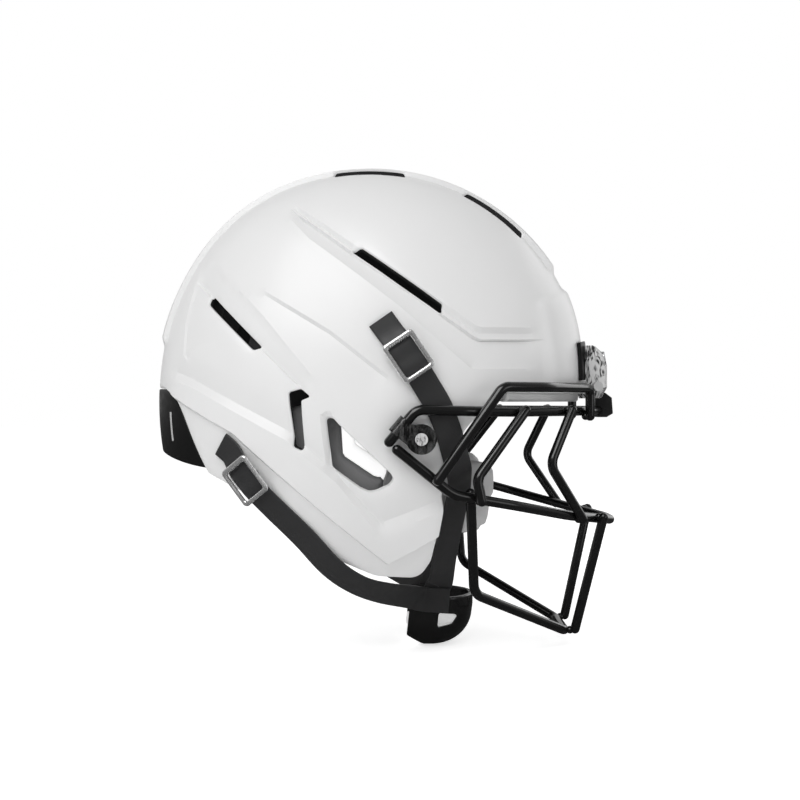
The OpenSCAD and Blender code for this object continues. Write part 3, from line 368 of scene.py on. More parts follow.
def sheet_of(loops, creases, step, round_r):
    """Triangles of the half within its edge and outside its holes, and how far each point
    sinks where the edges are rounded. Points lie on a hexagonal grid of the chart, on the
    loops, and on the creases, so that the creases are sharp in the mesh."""
    points, edges, sink, fixed = [], [], [], 0
    for k, loop in enumerate(loops):
        sign = (1 if k == 0 else -1) * np.sign(area_of(loop))
        on_middle = np.hypot(loop[:, 0], loop[:, 1]) > 0.9995
        for d in ((0, 0.3 * round_r, round_r) if round_r else (0,)):
            ring = inward(loop, d, sign) if d else loop
            near = ~on_middle if d else np.ones(len(loop), bool)
            index = np.cumsum(near) - 1 + fixed
            i = np.nonzero(near & np.roll(near, -1))[0]
            edges += np.stack([index[i], index[(i + 1) % len(loop)]], -1).tolist()
            points.append(ring[near])
            drop = round_r - np.sqrt(max(round_r ** 2 - (round_r - d) ** 2, 0))
            sink.append(np.where(on_middle, 0, -drop)[near])
            fixed += near.sum()
    for line in creases:
        i = np.arange(fixed, fixed + len(line))
        edges += np.stack([i[:-1], i[1:]], -1).tolist()
        points.append(line)
        sink.append(np.zeros(len(line)))
        fixed += len(line)
    points, sink = np.vstack(points), np.concatenate(sink)
    gx, gy = np.meshgrid(np.arange(-1, 1, step), np.arange(-1, 1, step * 0.866))
    gx[1::2] += step / 2
    grid = np.stack([gx.ravel(), gy.ravel()], -1)
    grid = grid[np.hypot(grid[:, 0], grid[:, 1]) < 1 - step * 0.4]
    size = step * 0.6
    taken = np.zeros((int(2.4 / size) + 3,) * 2, bool)
    taken[tuple(np.floor((points + 1.2) / size).astype(int).T)] = True
    near = sum(np.roll(taken, (i, j), (0, 1)) for i in (-1, 0, 1) for j in (-1, 0, 1)) > 0
    grid = grid[~near[tuple(np.floor((grid + 1.2) / size).astype(int).T)]]
    return filled(points, sink, grid, edges, loops, 1e-9)


def closed_mesh(name, points, faces, smooth=35, weld=0, tones=None):
    """Mesh object in metres from points in millimetres and lists of face arrays, its faces
    turned outwards; edges sharper than the angle stay sharp. Tones are material numbers."""
    mesh = bpy.data.meshes.new(name)
    faces = faces if isinstance(faces, list) else [faces]
    mesh.from_pydata((np.asarray(points) * 0.001).tolist(), [],
                     [f for g in faces for f in np.asarray(g).tolist()])
    if tones is not None:
        mesh.polygons.foreach_set("material_index", tones)
    work = bmesh.new()
    work.from_mesh(mesh)
    if weld:
        bmesh.ops.remove_doubles(work, verts=work.verts, dist=weld * 0.001)
    bmesh.ops.recalc_face_normals(work, faces=work.faces)
    if work.calc_volume(signed=True) < 0:
        bmesh.ops.reverse_faces(work, faces=work.faces)
    work.to_mesh(mesh)
    work.free()
    mesh.validate()
    piece = bpy.data.objects.new(name, mesh)
    bpy.context.collection.objects.link(piece)
    mesh.shade_smooth()
    mesh.set_sharp_from_angle(angle=np.radians(smooth))
    return piece


def crease_lines():
    """Chart lines along which the relief turns, so that they are edges of the mesh."""
    lines = upper_steps[0] + rear_steps[0] + ridge_steps[0][1:] + [
        crease, shifted(crease, 2), panel_edge, shifted(panel_edge, -1.2), shifted(ear_back, 4.4)]
    return [chart(*share(dense(line, 1.1))) for line in lines] + [
        at_width(y, np.linspace(*run)) for run, ys in (((36.5, 161, 240), (band_y, band_y + slope)),
                                                       ((6, 28.5, 50), (panel_y - 4, panel_y + 6)))
        for y in ys]


def apart(line, loops, gap):
    """Whether points of the chart are further than the gap from all the loops' points."""
    p, q = unchart(line), np.vstack([unchart(loop) for loop in loops])
    return np.sqrt(((p[:, None] - q) ** 2).sum(-1).min(1)) > gap


def node(tree, kind, sockets={}):
    """A new node of a kind, or the one given, with values set on its sockets, or links made
    to those that an output is given for."""
    made = tree.nodes.new("ShaderNode" + kind) if isinstance(kind, str) else kind
    for key, value in sockets.items():
        if isinstance(value, bpy.types.NodeSocket):
            tree.links.new(value, made.inputs[key])
        else:
            made.inputs[key].default_value = value
    return made


def noise(tree, place, scale, detail, distortion=0.0):
    return node(tree, "TexNoise", {"Vector": place, "Scale": scale, "Detail": detail,
                                   "Distortion": distortion}).outputs["Fac"]


def ramp(tree, fac, *stops):
    """Colours between two stops, each a place on the ramp and its colour."""
    made = node(tree, "ValToRGB", {"Fac": fac})
    for e, (at, colour) in zip(made.color_ramp.elements, stops):
        e.position, e.color = at, (*colour, 1)
    return made.outputs["Color"]


def raised(tree, height, mm):
    """Normal of a bump of so many millimetres."""
    bump = node(tree, "Bump", {"Height": height, "Distance": mm * 0.001, "Strength": 1})
    return bump.outputs["Normal"]


def finish_of(m):
    return m.node_tree.nodes["Principled BSDF"]


def material(name, colour, rough, bump=0.0, grain=900.0, metal=0.0, coat=0.0, uneven=0.06,
             clear=0.0, ior=1.5, sheen=0.0, shade=0.03, glow=0.0):
    """Principled finish: colour mottled slowly by noise, roughness uneven, and a fine grain
    as bump, all over object coordinates in metres. A glow, where given, is painted light: an
    emission that makes the part glow though it is no lamp."""
    m = bpy.data.materials.new(name)
    m.use_nodes = True
    tree = m.node_tree
    place = node(tree, "TexCoord").outputs["Object"]
    stops = [(at, [min(1, c * k) for c in colour]) for at, k in ((0.3, 1 - shade), (0.7, 1 + shade))]
    spread = node(tree, "MapRange", {
        "Value": noise(tree, place, 160, 5), "From Min": 0.3, "From Max": 0.7,
        "To Min": max(0.02, rough - uneven), "To Max": rough + uneven})
    node(tree, finish_of(m), {
        "Base Color": ramp(tree, noise(tree, place, 28, 3), *stops),
        "Roughness": spread.outputs["Result"], "Metallic": metal, "Coat Weight": coat,
        "Coat Roughness": 0.12, "Transmission Weight": clear, "IOR": ior, "Sheen Weight": sheen,
        "Emission Color": (1, 1, 1, 1), "Emission Strength": glow})
    if bump:
        node(tree, finish_of(m), {"Normal": raised(tree, noise(tree, place, grain, 2), bump)})
    return m


def dress(piece, body, slot, finish, *nodes):
    """Says what a new piece rides on, what it takes its finish from and stands for. The slot is
    not used.
    """
    piece.data.materials.append(finish)
    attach(piece, body)
    if nodes:
        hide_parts(*nodes)


def trimmed(flat, tris, sunk):
    """The sheet without the points that no triangle uses."""
    shown = np.unique(tris)
    return flat[shown], np.searchsorted(shown, tris), sunk[shown]


white = material("shell_white", (0.82, 0.82, 0.82), 0.36, bump=0.004, grain=700, uneven=0.02,
                 shade=0.003, coat=0.08)
loops = [half_edge] + holes
lines = []
for line in crease_lines():
    ok = in_sheet(line, loops) & apart(line, loops, 2.2)
    runs = np.split(np.arange(len(line)), np.nonzero(np.diff(ok.astype(int)))[0] + 1)
    lines += [line[r] for r in runs if ok[r[0]] and len(r) > 2]
fine, coarse, edge_r, top_z = 0.0115, 0.04, 1.2, 188.99
flat, tris, sunk = trimmed(*sheet_of(loops, lines, fine, edge_r))
flat_in, tris_in, _ = trimmed(*sheet_of(loops, [], coarse, 0))
outer = unchart(flat, relief(unchart(flat)) + sunk)
outer[:, 2] = np.minimum(outer[:, 2], top_z)
inner = unchart(flat_in, -wall)


def border(tris, flat):
    """Edges that only one triangle uses, in its direction, away from the middle line."""
    e = np.vstack([tris[:, [0, 1]], tris[:, [1, 2]], tris[:, [2, 0]]])
    key = np.sort(e, 1) @ np.array([len(flat), 1])
    _, first, count = np.unique(key, return_index=True, return_counts=True)
    e = e[first[count == 1]]
    on_middle = np.hypot(flat[:, 0], flat[:, 1]) > 0.9999
    return e[~on_middle[e].all(1)]


def keys(points):
    """Rounded places in the chart, by which the same point is found in both sheets."""
    return [tuple(k) for k in np.round(points * 1e5).astype(int).tolist()]


key_in = {k: i for i, k in enumerate(keys(flat_in))}
match = np.array([key_in.get(k, -1) for k in keys(flat)])
edge_out = border(tris, flat)
edge_out = edge_out[(match[edge_out] >= 0).all(1)]
# The cut walls of the slots take the near-black second finish: painted shade in the slots.
slot_keys = set(keys(np.vstack(holes[1:])))
shaded_slot_rim = np.array([k in slot_keys for k in keys(flat)])[edge_out].any(1)
half = np.vstack([outer, inner])
n_out, n_half = len(outer), len(half)
tri_faces = np.vstack([tris, tris_in[:, ::-1] + n_out])
rim = np.hstack([edge_out[:, ::-1], match[edge_out] + n_out])
# Inside the shell above 21 mm the same near-black finish stands for a dark liner and painted shade in the
# crown.
lining_and_shade_z = 21
lining_and_shade_inside = np.concatenate([np.zeros(len(tris)), inner[tris_in].mean(1)[:, 2] > lining_and_shade_z])
shell = closed_mesh("shell_moulding", np.vstack([half, half * [1, -1, 1]]),
                    [tri_faces, tri_faces[:, ::-1] + n_half, rim, rim[:, ::-1] + n_half], 24, 0.01,
                    np.concatenate([lining_and_shade_inside, lining_and_shade_inside, shaded_slot_rim, shaded_slot_rim]).astype(int))
dress(shell, "shell", "shell_white", white, "shell")
# Near-black second finish: painted shade on the slots' walls, dark liner and painted shade on the upper
# inside.
shell.data.materials.append(material("shell_lining_and_shade", (0.015, 0.015, 0.016), 0.8, bump=0.1))

# ---- Rear bumper
# Black moulded insert clipped over the nape edge of the shell, with rounded edges and a
# slim pale inlay on each side.
black = material("black_plastic", (0.008, 0.008, 0.008), 0.42, bump=0.02, grain=1500, ior=1.28)


def spaced(n, length, r):
    """Shares from 0 to 1, close together over the rounded edges at both ends."""
    tight = np.array([0, 0.1, 0.3, 0.6, 1]) * r / length
    return np.concatenate([tight, np.linspace(tight[-1], 1 - tight[-1], n)[1:-1], 1 - tight[::-1]])


def quads(n, m, start=0, around=False):
    """Faces of an n by m grid of points, closed across m if it goes around."""
    i, j = np.meshgrid(np.arange(n - 1), np.arange(m if around else m - 1), indexing="ij")
    k = (j + 1) % m
    return start + np.stack([i * m + j, i * m + k, (i + 1) * m + k, (i + 1) * m + j], -1).reshape(-1, 4)


def edged_grid(size, n, r, open_end=False):
    """Shares over a patch, close together at its edges, and how far the skin sinks within r
    of an edge: r - sqrt(r^2 - (r - d)^2), d being the distance from it."""
    u, v = spaced(n[0], size[0], r), spaced(n[1], size[1], r)
    if open_end:
        v = np.concatenate([v[:5], np.linspace(v[4], 1, n[1])[1:]])
    u, v = np.meshgrid(u, v, indexing="ij")
    far_v = v if open_end else np.minimum(v, 1 - v)
    d = np.minimum(np.minimum(u, 1 - u) * size[0], far_v * size[1])
    return u, v, r - np.sqrt(r * r - (r - np.minimum(d, r)) ** 2)


def two_sheets(name, sheets, smooth, weld=0, open_end=False):
    """Closed piece of two sheets with a rim between them, none where they meet the middle."""
    nu, nv = sheets[0].shape[:2]
    m = nu * nv
    a = np.arange(m).reshape(nu, nv)
    edges = [a[::-1, 0], a[0, :]] + ([] if open_end else [a[:, -1]]) + [a[-1, ::-1]]
    rims = [np.stack([e[:-1], e[1:], e[1:] + m, e[:-1] + m], -1) for e in edges]
    return closed_mesh(name, np.concatenate(sheets).reshape(-1, 3),
                       [quads(nu, nv), quads(nu, nv, m)[:, ::-1]] + rims, smooth, weld)


def slab(name, surface, size, n, outer, inner, r, smooth=40, open_end=False, weld=0):
    """Closed piece between two offsets of a patch, its edges rounded."""
    u, v, sink = edged_grid(size, n, r, open_end)
    sheets = [surface(u, v, outer - sink), surface(u, v, inner + sink * 0.5)]
    return two_sheets(name, sheets, smooth, weld, open_end)


def power(t, k):
    """Power that keeps the sign, for superellipse sections."""
    return np.sign(t) * np.abs(t) ** k


def form_point(deg, lat, off):
    """Point of the form at a direction of the side view and a latitude from the middle."""
    n = squareness(deg)
    c = np.clip(np.cos(np.radians(lat)), 0, 1) ** (2 / n)
    s = power(np.sin(np.radians(lat)), 2 / n)
    r = (reach(deg) + off) * c
    a = np.radians(deg)
    z = pole[1] + r * np.sin(a)
    return np.stack([pole[0] + r * np.cos(a), (half_w + off) * s * taper(z), z], -1)


def nape(u, v, off):
    """Point of the rear bumper: direction 175.5 to about 195 degrees, and a latitude that
    widens as 24 + 19.5 u^0.38 degrees on each side."""
    side = 2 * v - 1
    return form_point(nape_top + (17 + 9.7 * side ** 2) * u, side * nape_lat(u), off)


rear_bumper = slab("rear_bumper_moulding", nape, (60, 170), (30, 70), 0.29, -5.7, 1.4)
dress(rear_bumper, "shell", "black_plastic", black, "rear_bumper")
inlay = material("bumper_slot_inlay", (0.5, 0.5, 0.5), 0.5, bump=0.02)
sides = (("right", -1), ("left", 1))
for word, side in sides:
    piece = slab("bumper_slot_inlay_" + word, lambda u, v, off: form_point(
        182 + 8.8 * u, side * (27.6 + 1.3 * v), off), (20, 2.6), (14, 5), 0.45, -0.4, 0.4)
    piece.data.materials.append(inlay)
    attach(piece, "shell")


# ---- Front bumper and clips
# Black base plate on the brow, with two clear moulded clips screwed through it into nuts
# behind the shell. Their hooks hold the guard's brow bar.
low_deg, high_deg = np.degrees(np.arcsin(17 / 151.5)), np.degrees(np.arcsin(42 / 151.5))
side_lat = np.degrees(np.arcsin((38 / half_w) ** (squareness(10) / 2)))
front_bumper = slab("front_bumper_plate", lambda u, v, off: form_point(
    low_deg + (high_deg - low_deg) * u, (2 * v - 1) * side_lat, off), (25, 78), (10, 30), 5.4, 2.8, 0.8)
dress(front_bumper, "shell", "black_plastic", black, "front_bumper")


def finish_nodes(finish, *names, bevel=0.0):
    """CAD pieces kept as they are, with a finish and softened edges."""
    for name in names:
        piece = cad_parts[name]
        piece.data.materials.clear()
        piece.data.materials.append(finish)
        if bevel:
            soften = piece.modifiers.new("edges", "BEVEL")
            soften.width, soften.segments, soften.angle_limit = bevel * 0.001, 3, np.radians(28)
            soften.harden_normals = True


def painted_glints(m, scale, dark, light, low, high):
    """Sharp dark and light patches painted into the base colour: painted reflections, highlights
    and shade, standing in for what thick clear plastic shows of what is behind it.
    """
    tree = m.node_tree
    longer = node(tree, "Mapping", {"Vector": node(tree, "TexCoord").outputs["Object"],
                                    "Scale": (1, 1, 0.45)})
    patches = noise(tree, longer.outputs["Vector"], scale, 1.5, 1.6)
    node(tree, finish_of(m), {"Base Color": ramp(tree, patches, (low, [dark] * 3), (high, [light] * 3))})


clear = material("clear_clip", (0.9, 0.9, 0.9), 0.05, clear=0.4, coat=0.6, ior=1.55, uneven=0.03, shade=0)
# The clips' base colour is painted patches: painted reflections, highlights and shade of the clear
# plastic.
painted_glints(clear, 260, 0.03, 1.0, 0.41, 0.57)
sleeve = material("bar_sleeve", (0.42, 0.42, 0.42), 0.4, bump=0.01)
steel = material("steel", (0.55, 0.55, 0.56), 0.28, metal=1, bump=0.01, grain=700)
rubber = material("black_rubber", (0.010, 0.010, 0.010), 0.5, bump=0.03, grain=1200)
finish_nodes(clear, "front_clip_right", "front_clip_left", bevel=0.7)
finish_nodes(steel, "clip_screws", "clip_nuts", "snap_studs", bevel=0.25)

# ---- Liner pads
# Foam cushions covered in dark wicking fabric, held inside the shell: brow, crown, rear and
# one on each side, with sewn channels between their cells.
fabric = material("liner_fabric", (0.014, 0.014, 0.015), 0.85, bump=0.18, grain=1300, sheen=0.05)


def cushion(u, v, cells_u, cells_v):
    """Thickness share: drawn in at the sides as 1 - (2u - 1)^6, dipped as |sin|^0.5 between
    cells."""
    sides = (1 - np.abs(2 * u - 1) ** 6) * (1 - np.abs(2 * v - 1) ** 6)
    dips = [np.abs(np.sin(np.pi * cells * t)) ** 0.5 if cells > 1 else 1
            for cells, t in ((cells_u, u), (cells_v, v))]
    return 0.35 + 0.65 * sides * (0.62 + 0.38 * np.minimum(*dips))


def soft_square(u, v, k=6):
    """A square of shares with rounded corners: mapped to a disc as x sqrt(1 - y^2 / 2), then
    drawn out to the superellipse of power k."""
    a, b = 2 * u - 1, 2 * v - 1
    x, y = a * np.sqrt(1 - b * b / 2), b * np.sqrt(1 - a * a / 2)
    r = np.hypot(x, y) + 1e-9
    out = 1 / (np.abs(x / r) ** k + np.abs(y / r) ** k) ** (1 / k)
    return 0.5 + 0.5 * x * out, 0.5 + 0.5 * y * out


def read(items, what, k=3, kind=float):
    """One value of all the items of a mesh, in rows of k."""
    out = np.zeros(len(items) * k, kind)
    items.foreach_get(what, out)
    return out.reshape(-1, k)


def baked(piece):
    """Mesh of the piece as its modifiers leave it, which then go."""
    mesh = bpy.data.meshes.new_from_object(piece.evaluated_get(bpy.context.evaluated_depsgraph_get()))
    piece.modifiers.clear()
    piece.data = mesh
    return mesh


def puffed(piece, cap):
    """Blows the cushion up as cloth, from a voxel copy of it: no point moves further than
    the cap, and none moves out towards the shell that the cushion leans on."""
    voxel, pressure, frames = 4.0, 4.0, 20
    scene = bpy.context.scene
    remesh = piece.modifiers.new("voxels", "REMESH")
    remesh.mode, remesh.voxel_size = "VOXEL", voxel * 0.001
    mesh = baked(piece)
    start = read(mesh.vertices, "co")
    cloth = piece.modifiers.new("cloth", "CLOTH")
    cloth.settings.use_pressure, cloth.settings.uniform_pressure_force = True, pressure
    cloth.settings.effector_weights.gravity = 0
    cloth.point_cache.frame_start, cloth.point_cache.frame_end = 1, frames
    for f in range(1, frames + 1):
        scene.frame_set(f)
    blown = piece.evaluated_get(bpy.context.evaluated_depsgraph_get())
    move = read(blown.data.vertices, "co") - start
    piece.modifiers.clear()
    scene.frame_set(1)
    outward = unit(start - [0.01, 0, 0.025])
    move -= outward * np.maximum((move * outward).sum(1, keepdims=True), 0)
    move *= np.minimum(1, cap * 0.001 / (np.linalg.norm(move, axis=1, keepdims=True) + 1e-9))
    mesh.vertices.foreach_set("co", (start + move).ravel())
    finer = piece.modifiers.new("finer", "SUBSURF")
    finer.levels = finer.render_levels = 1
    mesh.shade_smooth()


def pad(name, surface, size, n, cells, cap=4.0):
    """Soft piece between a back sheet and the cushion's face, round at its edges."""
    edge_r, full, fill = 4, 20, 0.7
    u, v, sink = edged_grid(size, n, edge_r)
    thick = full * cushion(u, v, *cells)
    u, v = soft_square(u, v)
    piece = two_sheets(name, [surface(u, v, -sink * 0.6), surface(u, v, sink * 0.45 - thick)], 60)
    puffed(piece, cap)
    return piece


liner_in = 5.5


def liner(a0, a1, half_lat):
    """Patch of the shell's inside, 5.5 mm under the form, between two directions."""
    return lambda u, v, off: form_point(a0 + (a1 - a0) * u, (2 * v - 1) * half_lat, off - liner_in)


for name, a0, a1, half_lat, cells in (("front_pad", 6, 40, 40, (1, 3)),
                                      ("crown_pad", 56, 124, 24, (3, 1)),
                                      ("rear_pad", 138, 174, 34, (2, 2))):
    length, width = np.radians(a1 - a0) * 150, np.radians(2 * half_lat) * 115
    piece = pad(name + "_cushion", liner(a0, a1, half_lat), (length, width), (24, 48), cells)
    dress(piece, "shell", "liner_fabric", fabric, name)


def lip(u, v, off):
    """Strip under the shell's level brow edge: heights 27.4 to 33.4 mm, 52 degrees to each
    side, the direction worked out from the height as asin(dz / r)."""
    lat = (2 * v - 1) * 52
    z = 27.4 + 6 * u - pole[1]
    deg = np.degrees(np.arcsin(z / (152 * np.cos(np.radians(lat)))))
    return form_point(deg, lat, off)


lip_foam = material("brow_lip_vinyl", (0.5, 0.5, 0.5), 0.55, bump=0.05, grain=1500)
piece = slab("front_pad_lip", lip, (6, 250), (8, 90), -0.8, -7, 1.8, 60)
piece.data.materials.append(lip_foam)
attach(piece, "shell")


def between(corners, u, v):
    """Points of the side view at shares of the way between four corners."""
    c, u, v = np.array(corners, float), u[..., None], v[..., None]
    return (c[0] + (c[1] - c[0]) * u) * (1 - v) + (c[3] + (c[2] - c[3]) * u) * v


def side_patch(side):
    """Patch inside the shell between four corners of the side view."""
    def surface(u, v, off):
        p = between([(-70, 34), (74, 40), (58, 96), (-58, 92)], u, v)
        q = on_form(p, -liner_in)
        q[..., 1] += off
        return q * [1, side, 1]
    return surface


for word, side in sides:
    piece = pad("side_pad_cushion_" + word, side_patch(side), (130, 58), (44, 24), (3, 1))
    dress(piece, "shell", "liner_fabric", fabric, "side_pad_" + word)

# ---- Ear pads
# Soft cushions round the back and the bottom of the ear holes, cut from dark foam sheet and
# faced with pale fabric towards the ear. The facing glows: painted light, an emission that
# brightens it in the shade inside the helmet.
# The facing's glow is painted light: an emission, though the fabric is no lamp.
facing = material("ear_facing", (0.85, 0.85, 0.84), 0.85, bump=0.12, grain=1100, sheen=0.2, glow=0.75)
foam = material("ear_foam", (0.19, 0.19, 0.192), 0.9, bump=0.2, grain=900, sheen=0.25)
ear_thick = 12
ear_y = float(on_form([10.0, -44.0], -wall)[1]) - 1.5 - ear_thick


def plate(name, loop, y0, y1, r, side, step=4.0):
    """Flat piece cut to a loop of the side view between two half widths, edges rounded."""
    t = np.roll(loop, -1, 0) - np.roll(loop, 1, 0)
    inwards = unit(np.stack([-t[:, 1], t[:, 0]], -1)) * np.sign(area_of(loop))
    shares = np.array([0, 0.15, 0.45, 1.0])
    n = len(loop)
    i = np.arange(n)
    edges = [pair for k in range(4) for pair in (np.stack([i, (i + 1) % n], -1) + k * n).tolist()]
    points = np.vstack([loop + inwards * d * r for d in shares])
    sink = np.repeat((1 - np.sqrt(1 - (1 - shares) ** 2)) * r, n)
    places = (np.arange(lo, hi, step) for lo, hi in zip(points.min(0), points.max(0)))
    grid = np.stack(np.meshgrid(*places), -1).reshape(-1, 2)
    grid = grid[np.sqrt(((grid[:, None] - points) ** 2).sum(-1).min(1)) > step * 0.4]
    flat, tris, sunk = filled(points, sink, grid, edges, [loop], 1e-6)
    sheets = [np.insert(flat, 1, y, 1) for y in (y1 - sunk, y0 + sunk)]
    e = border(tris, flat * 0.0)
    return closed_mesh(name, np.vstack(sheets) * [1, side, 1],
                       [tris, tris[:, ::-1] + len(flat), np.hstack([e[:, ::-1], e + len(flat)])], 50)


def second_finish(piece, finish, where):
    """Gives a second finish to the faces whose centres, in mm, fit the rule."""
    piece.data.materials.append(finish)
    faces = piece.data.polygons
    faces.foreach_set("material_index", where(read(faces, "center") * 1000).astype(int))


ear_outline = rounded([(-38, 22), (-8, 30), (12, 24), (2, 15), (-1.5, 13), (-0.3, -6.2), (20.3, -20.1),
                       (25.5, -19.6), (24.5, -29), (19, -44), (-6, -44), (-30, -26)],
                      [6, 8, 3, 4, 2, 3, 4, 2, 3, 5, 5, 8], 2)
for word, side in sides:
    piece = plate("ear_pad_cushion_" + word, ear_outline, ear_y, ear_y + ear_thick, 3.5, side)
    dress(piece, "shell", "ear_foam", foam, "ear_pad_" + word)
    # Faces towards the ear take the glowing facing: painted light.
    second_finish(piece, facing, lambda c: np.abs(c[:, 1]) < ear_y + 3)

# ---- Jaw pads
# Grey coated-fabric cushions in the jaw flaps, standing out in front of the flap's edge. Their
# rear ends, seen through the ear holes, are dark foam.
vinyl = material("jaw_vinyl", (0.6, 0.6, 0.6), 0.5, bump=0.05, grain=1500, shade=0.04)


def jaw_patch(side):
    """Patch behind the flap: the form less 5.5 mm, blending in front of the flap's edge
    into a straight nose."""
    def surface(u, v, off):
        p = between([(12, -76), (91, -66), (99, -12), (33, 1)], u, v)
        x, z = p[..., 0], p[..., 1]
        hidden = on_form(np.stack([np.minimum(x, 58), z], -1), -liner_in)[..., 1]
        nose = np.minimum(70, 70 + (z + 46) * 0.72)
        y = hidden + (nose - hidden) * np.clip((x - 46) / 14, 0, 1)
        return np.stack([x, side * (y + off * (y - 58) / 20), z], -1)
    return surface


for word, side in sides:
    piece = pad("jaw_pad_cushion_" + word, jaw_patch(side), (70, 68), (30, 30), (1, 1), cap=3.0)
    dress(piece, "shell", "jaw_vinyl", vinyl, "jaw_pad_" + word)
    second_finish(piece, foam, lambda c: c[:, 0] < 34)

# ---- Side clips, sockets and snaps
# Smoke-tinted clips hold the guard's slanting wire to steel-buttoned sockets in the shell.
# Steel studs through the shell carry the black caps that the buckles snap onto.
smoky = material("smoky_clip", (0.16, 0.17, 0.18), 0.1, clear=0.6, uneven=0.04, shade=0)
# Smoky tint with painted patches: painted reflections and painted shade through the plastic.
painted_glints(smoky, 300, 0.012, 0.16, 0.42, 0.7)
# The button's bright, patchy colour is painted highlights and painted reflections of polished steel.
button = material("button_steel", (0.9, 0.9, 0.9), 0.22, metal=0.4, uneven=0.05)
painted_glints(button, 420, 0.2, 0.98, 0.36, 0.5)
bright = material("bright_steel", (0.95, 0.95, 0.95), 0.26, metal=0.86, bump=0.012, grain=600)
dark = material("dark_plastic", (0.03, 0.03, 0.032), 0.45, bump=0.02)
finish_nodes(smoky, "side_clip_right", "side_clip_left", bevel=0.5)
finish_nodes(button, "release_button_right", "release_button_left", bevel=1.3)
finish_nodes(dark, "side_sockets")
finish_nodes(black, "snap_caps", bevel=0.5)

# ---- Chin straps
# Four lengths of dark 17 mm webbing: two from the upper buckles and two from the lower
# ones, riveted to the chin cup. Close ribs run across, two selvedges along.
webbing = material("webbing", (0.031, 0.031, 0.032), 0.42, sheen=0.06, uneven=0.08)


def form_normal(p):
    """Outward normal of the form over a point of the side view, on the left side."""
    h = 0.5
    p = np.asarray(p, float)
    gx, gz = ((on_form(p + d)[:, 1] - on_form(p - d)[:, 1]) / (2 * h) for d in np.eye(2) * h)
    return unit(np.stack([-gx, np.ones(len(p)), -gz], -1))


def smooth_line(points, steps):
    """Catmull-Rom curve through the points, several steps from each to the next."""
    p = np.asarray(points, float)
    q = np.vstack([p[:1], p, p[-1:]])
    t = np.arange(steps)[:, None] / steps
    return np.vstack([catmull(*four, t) for four in zip(q[:-3], q[1:-2], q[2:-1], q[3:])] + [p[-1:]])


def capped(n, m):
    """Faces of n rings of m points, closed at both ends."""
    return [quads(n, m, around=True), np.arange(m)[None, ::-1], np.arange(m)[None] + (n - 1) * m]


strap_w, strap_t = 17.0, 1.8


def swept(line, side, up, across, through):
    """Rings of section points round a line, across and through being their distances."""
    return line[:, None] + side[:, None] * across[..., None] + up[:, None] * through[..., None]


def strap(name, places, offs, free, free_normals, side):
    """Webbing swept along a curve, 17 by 1.8 mm with rounded selvedges: the section is a
    superellipse of power 5 across and 2 through."""
    fixed = on_form(places) + form_normal(places) * np.array(offs)[:, None]
    line = smooth_line(np.vstack([fixed, free]), 12)
    out = smooth_line(np.vstack([form_normal(places), free_normals]), 12)
    t = unit(np.gradient(line, axis=0))
    w = unit(np.cross(t, out))
    up = np.cross(w, t)
    a = np.linspace(0, 2 * np.pi, 28, endpoint=False)
    cross = power(np.cos(a), 0.4) * strap_w / 2
    through = (1 + power(np.sin(a), 0.55)) * strap_t / 2
    along = np.concatenate([[0], np.cumsum(np.linalg.norm(np.diff(line, axis=0), axis=1))])
    rings = swept(line, w, up, cross[None], through[None])
    n, m = rings.shape[:2]
    piece = closed_mesh(name, rings.reshape(-1, 3) * [1, side, 1], capped(n, m), 50)
    uv = np.stack([np.repeat(along, m), np.tile(cross, n)], -1)
    layer = piece.data.uv_layers.new(name="run")
    layer.data.foreach_set("uv", uv[read(piece.data.loops, "vertex_index", 1, int)].ravel())
    return piece


def rib(m, layer, pitch, height):
    """Adds ribs across the webbing, from the run's length in the mesh's own map."""
    tree = m.node_tree
    uv = node(tree, "UVMap")
    uv.uv_map = layer
    wave = node(tree, "TexWave", {"Vector": uv.outputs["UV"], "Scale": 1 / pitch / 3.1416,
                                  "Distortion": 0.4, "Detail": 1})
    node(tree, finish_of(m), {"Normal": raised(tree, wave.outputs["Fac"], height)})


rib(webbing, "run", 0.9, 0.05)
low, high = 0.8, 3.7
upper_snap, lower_snap = np.array([39.7, 54.4]), np.array([-57.5, -20])
# Each strap: places over the form and heights off it, then free points and their normals
upper = ([(23.5, 77.5), (30, 68.5), upper_snap - [5, -7.4], upper_snap, upper_snap + [5, -7.4],
          (52, 36), (59, 24), (64.5, 10), (68.5, -4), (71.5, -15)],
         [low, low, high, high, high] + [low] * 5,
         [(72.3, 88, -28), (69.2, 75.5, -47), (64.8, 54, -75), (63, 33.5, -95), (60.5, 30.5, -100.5),
          (56.6, 30.5, -115)],
         [(0.4, 0.86, -0.1), (0.4, 0.83, -0.3), (0.3, 0.9, -0.4), (0.1, 1, -0.2), (0, 1, 0), (0, 1, 0)])
lower_run = ([(-76, 1), (-69, -5), lower_snap - [4.8, -5.9], lower_snap, lower_snap + [4.8, -5.9],
              (-42, -39), (-24, -57)], [low, low, high, high, high, low, low],
             [(-7.5, 88.8, -76.5), (8, 80.5, -88.5), (24, 65, -96.5), (41, 43.5, -103),
              (50, 33.6, -106.6), (57, 32.6, -107.5), (69, 32.6, -108.4)],
             [(-0.1, 0.87, -0.5), (-0.1, 0.88, -0.45), (0, 0.95, -0.3), (0, 1, -0.1)] + [(0, 1, 0)] * 3)
for word, side in sides:
    for kind, run in (("upper", upper), ("lower", lower_run)):
        piece = strap(f"strap_{kind}_webbing_{word}", *run, side)
        dress(piece, "shell", "webbing", webbing, f"strap_{kind}_{word}")

# ---- Buckles
# Die-cast ladder frames snapped over the caps, the webbing threaded through them. The inner
# edge towards the strap's tail has teeth.


buckle_off = 5.8


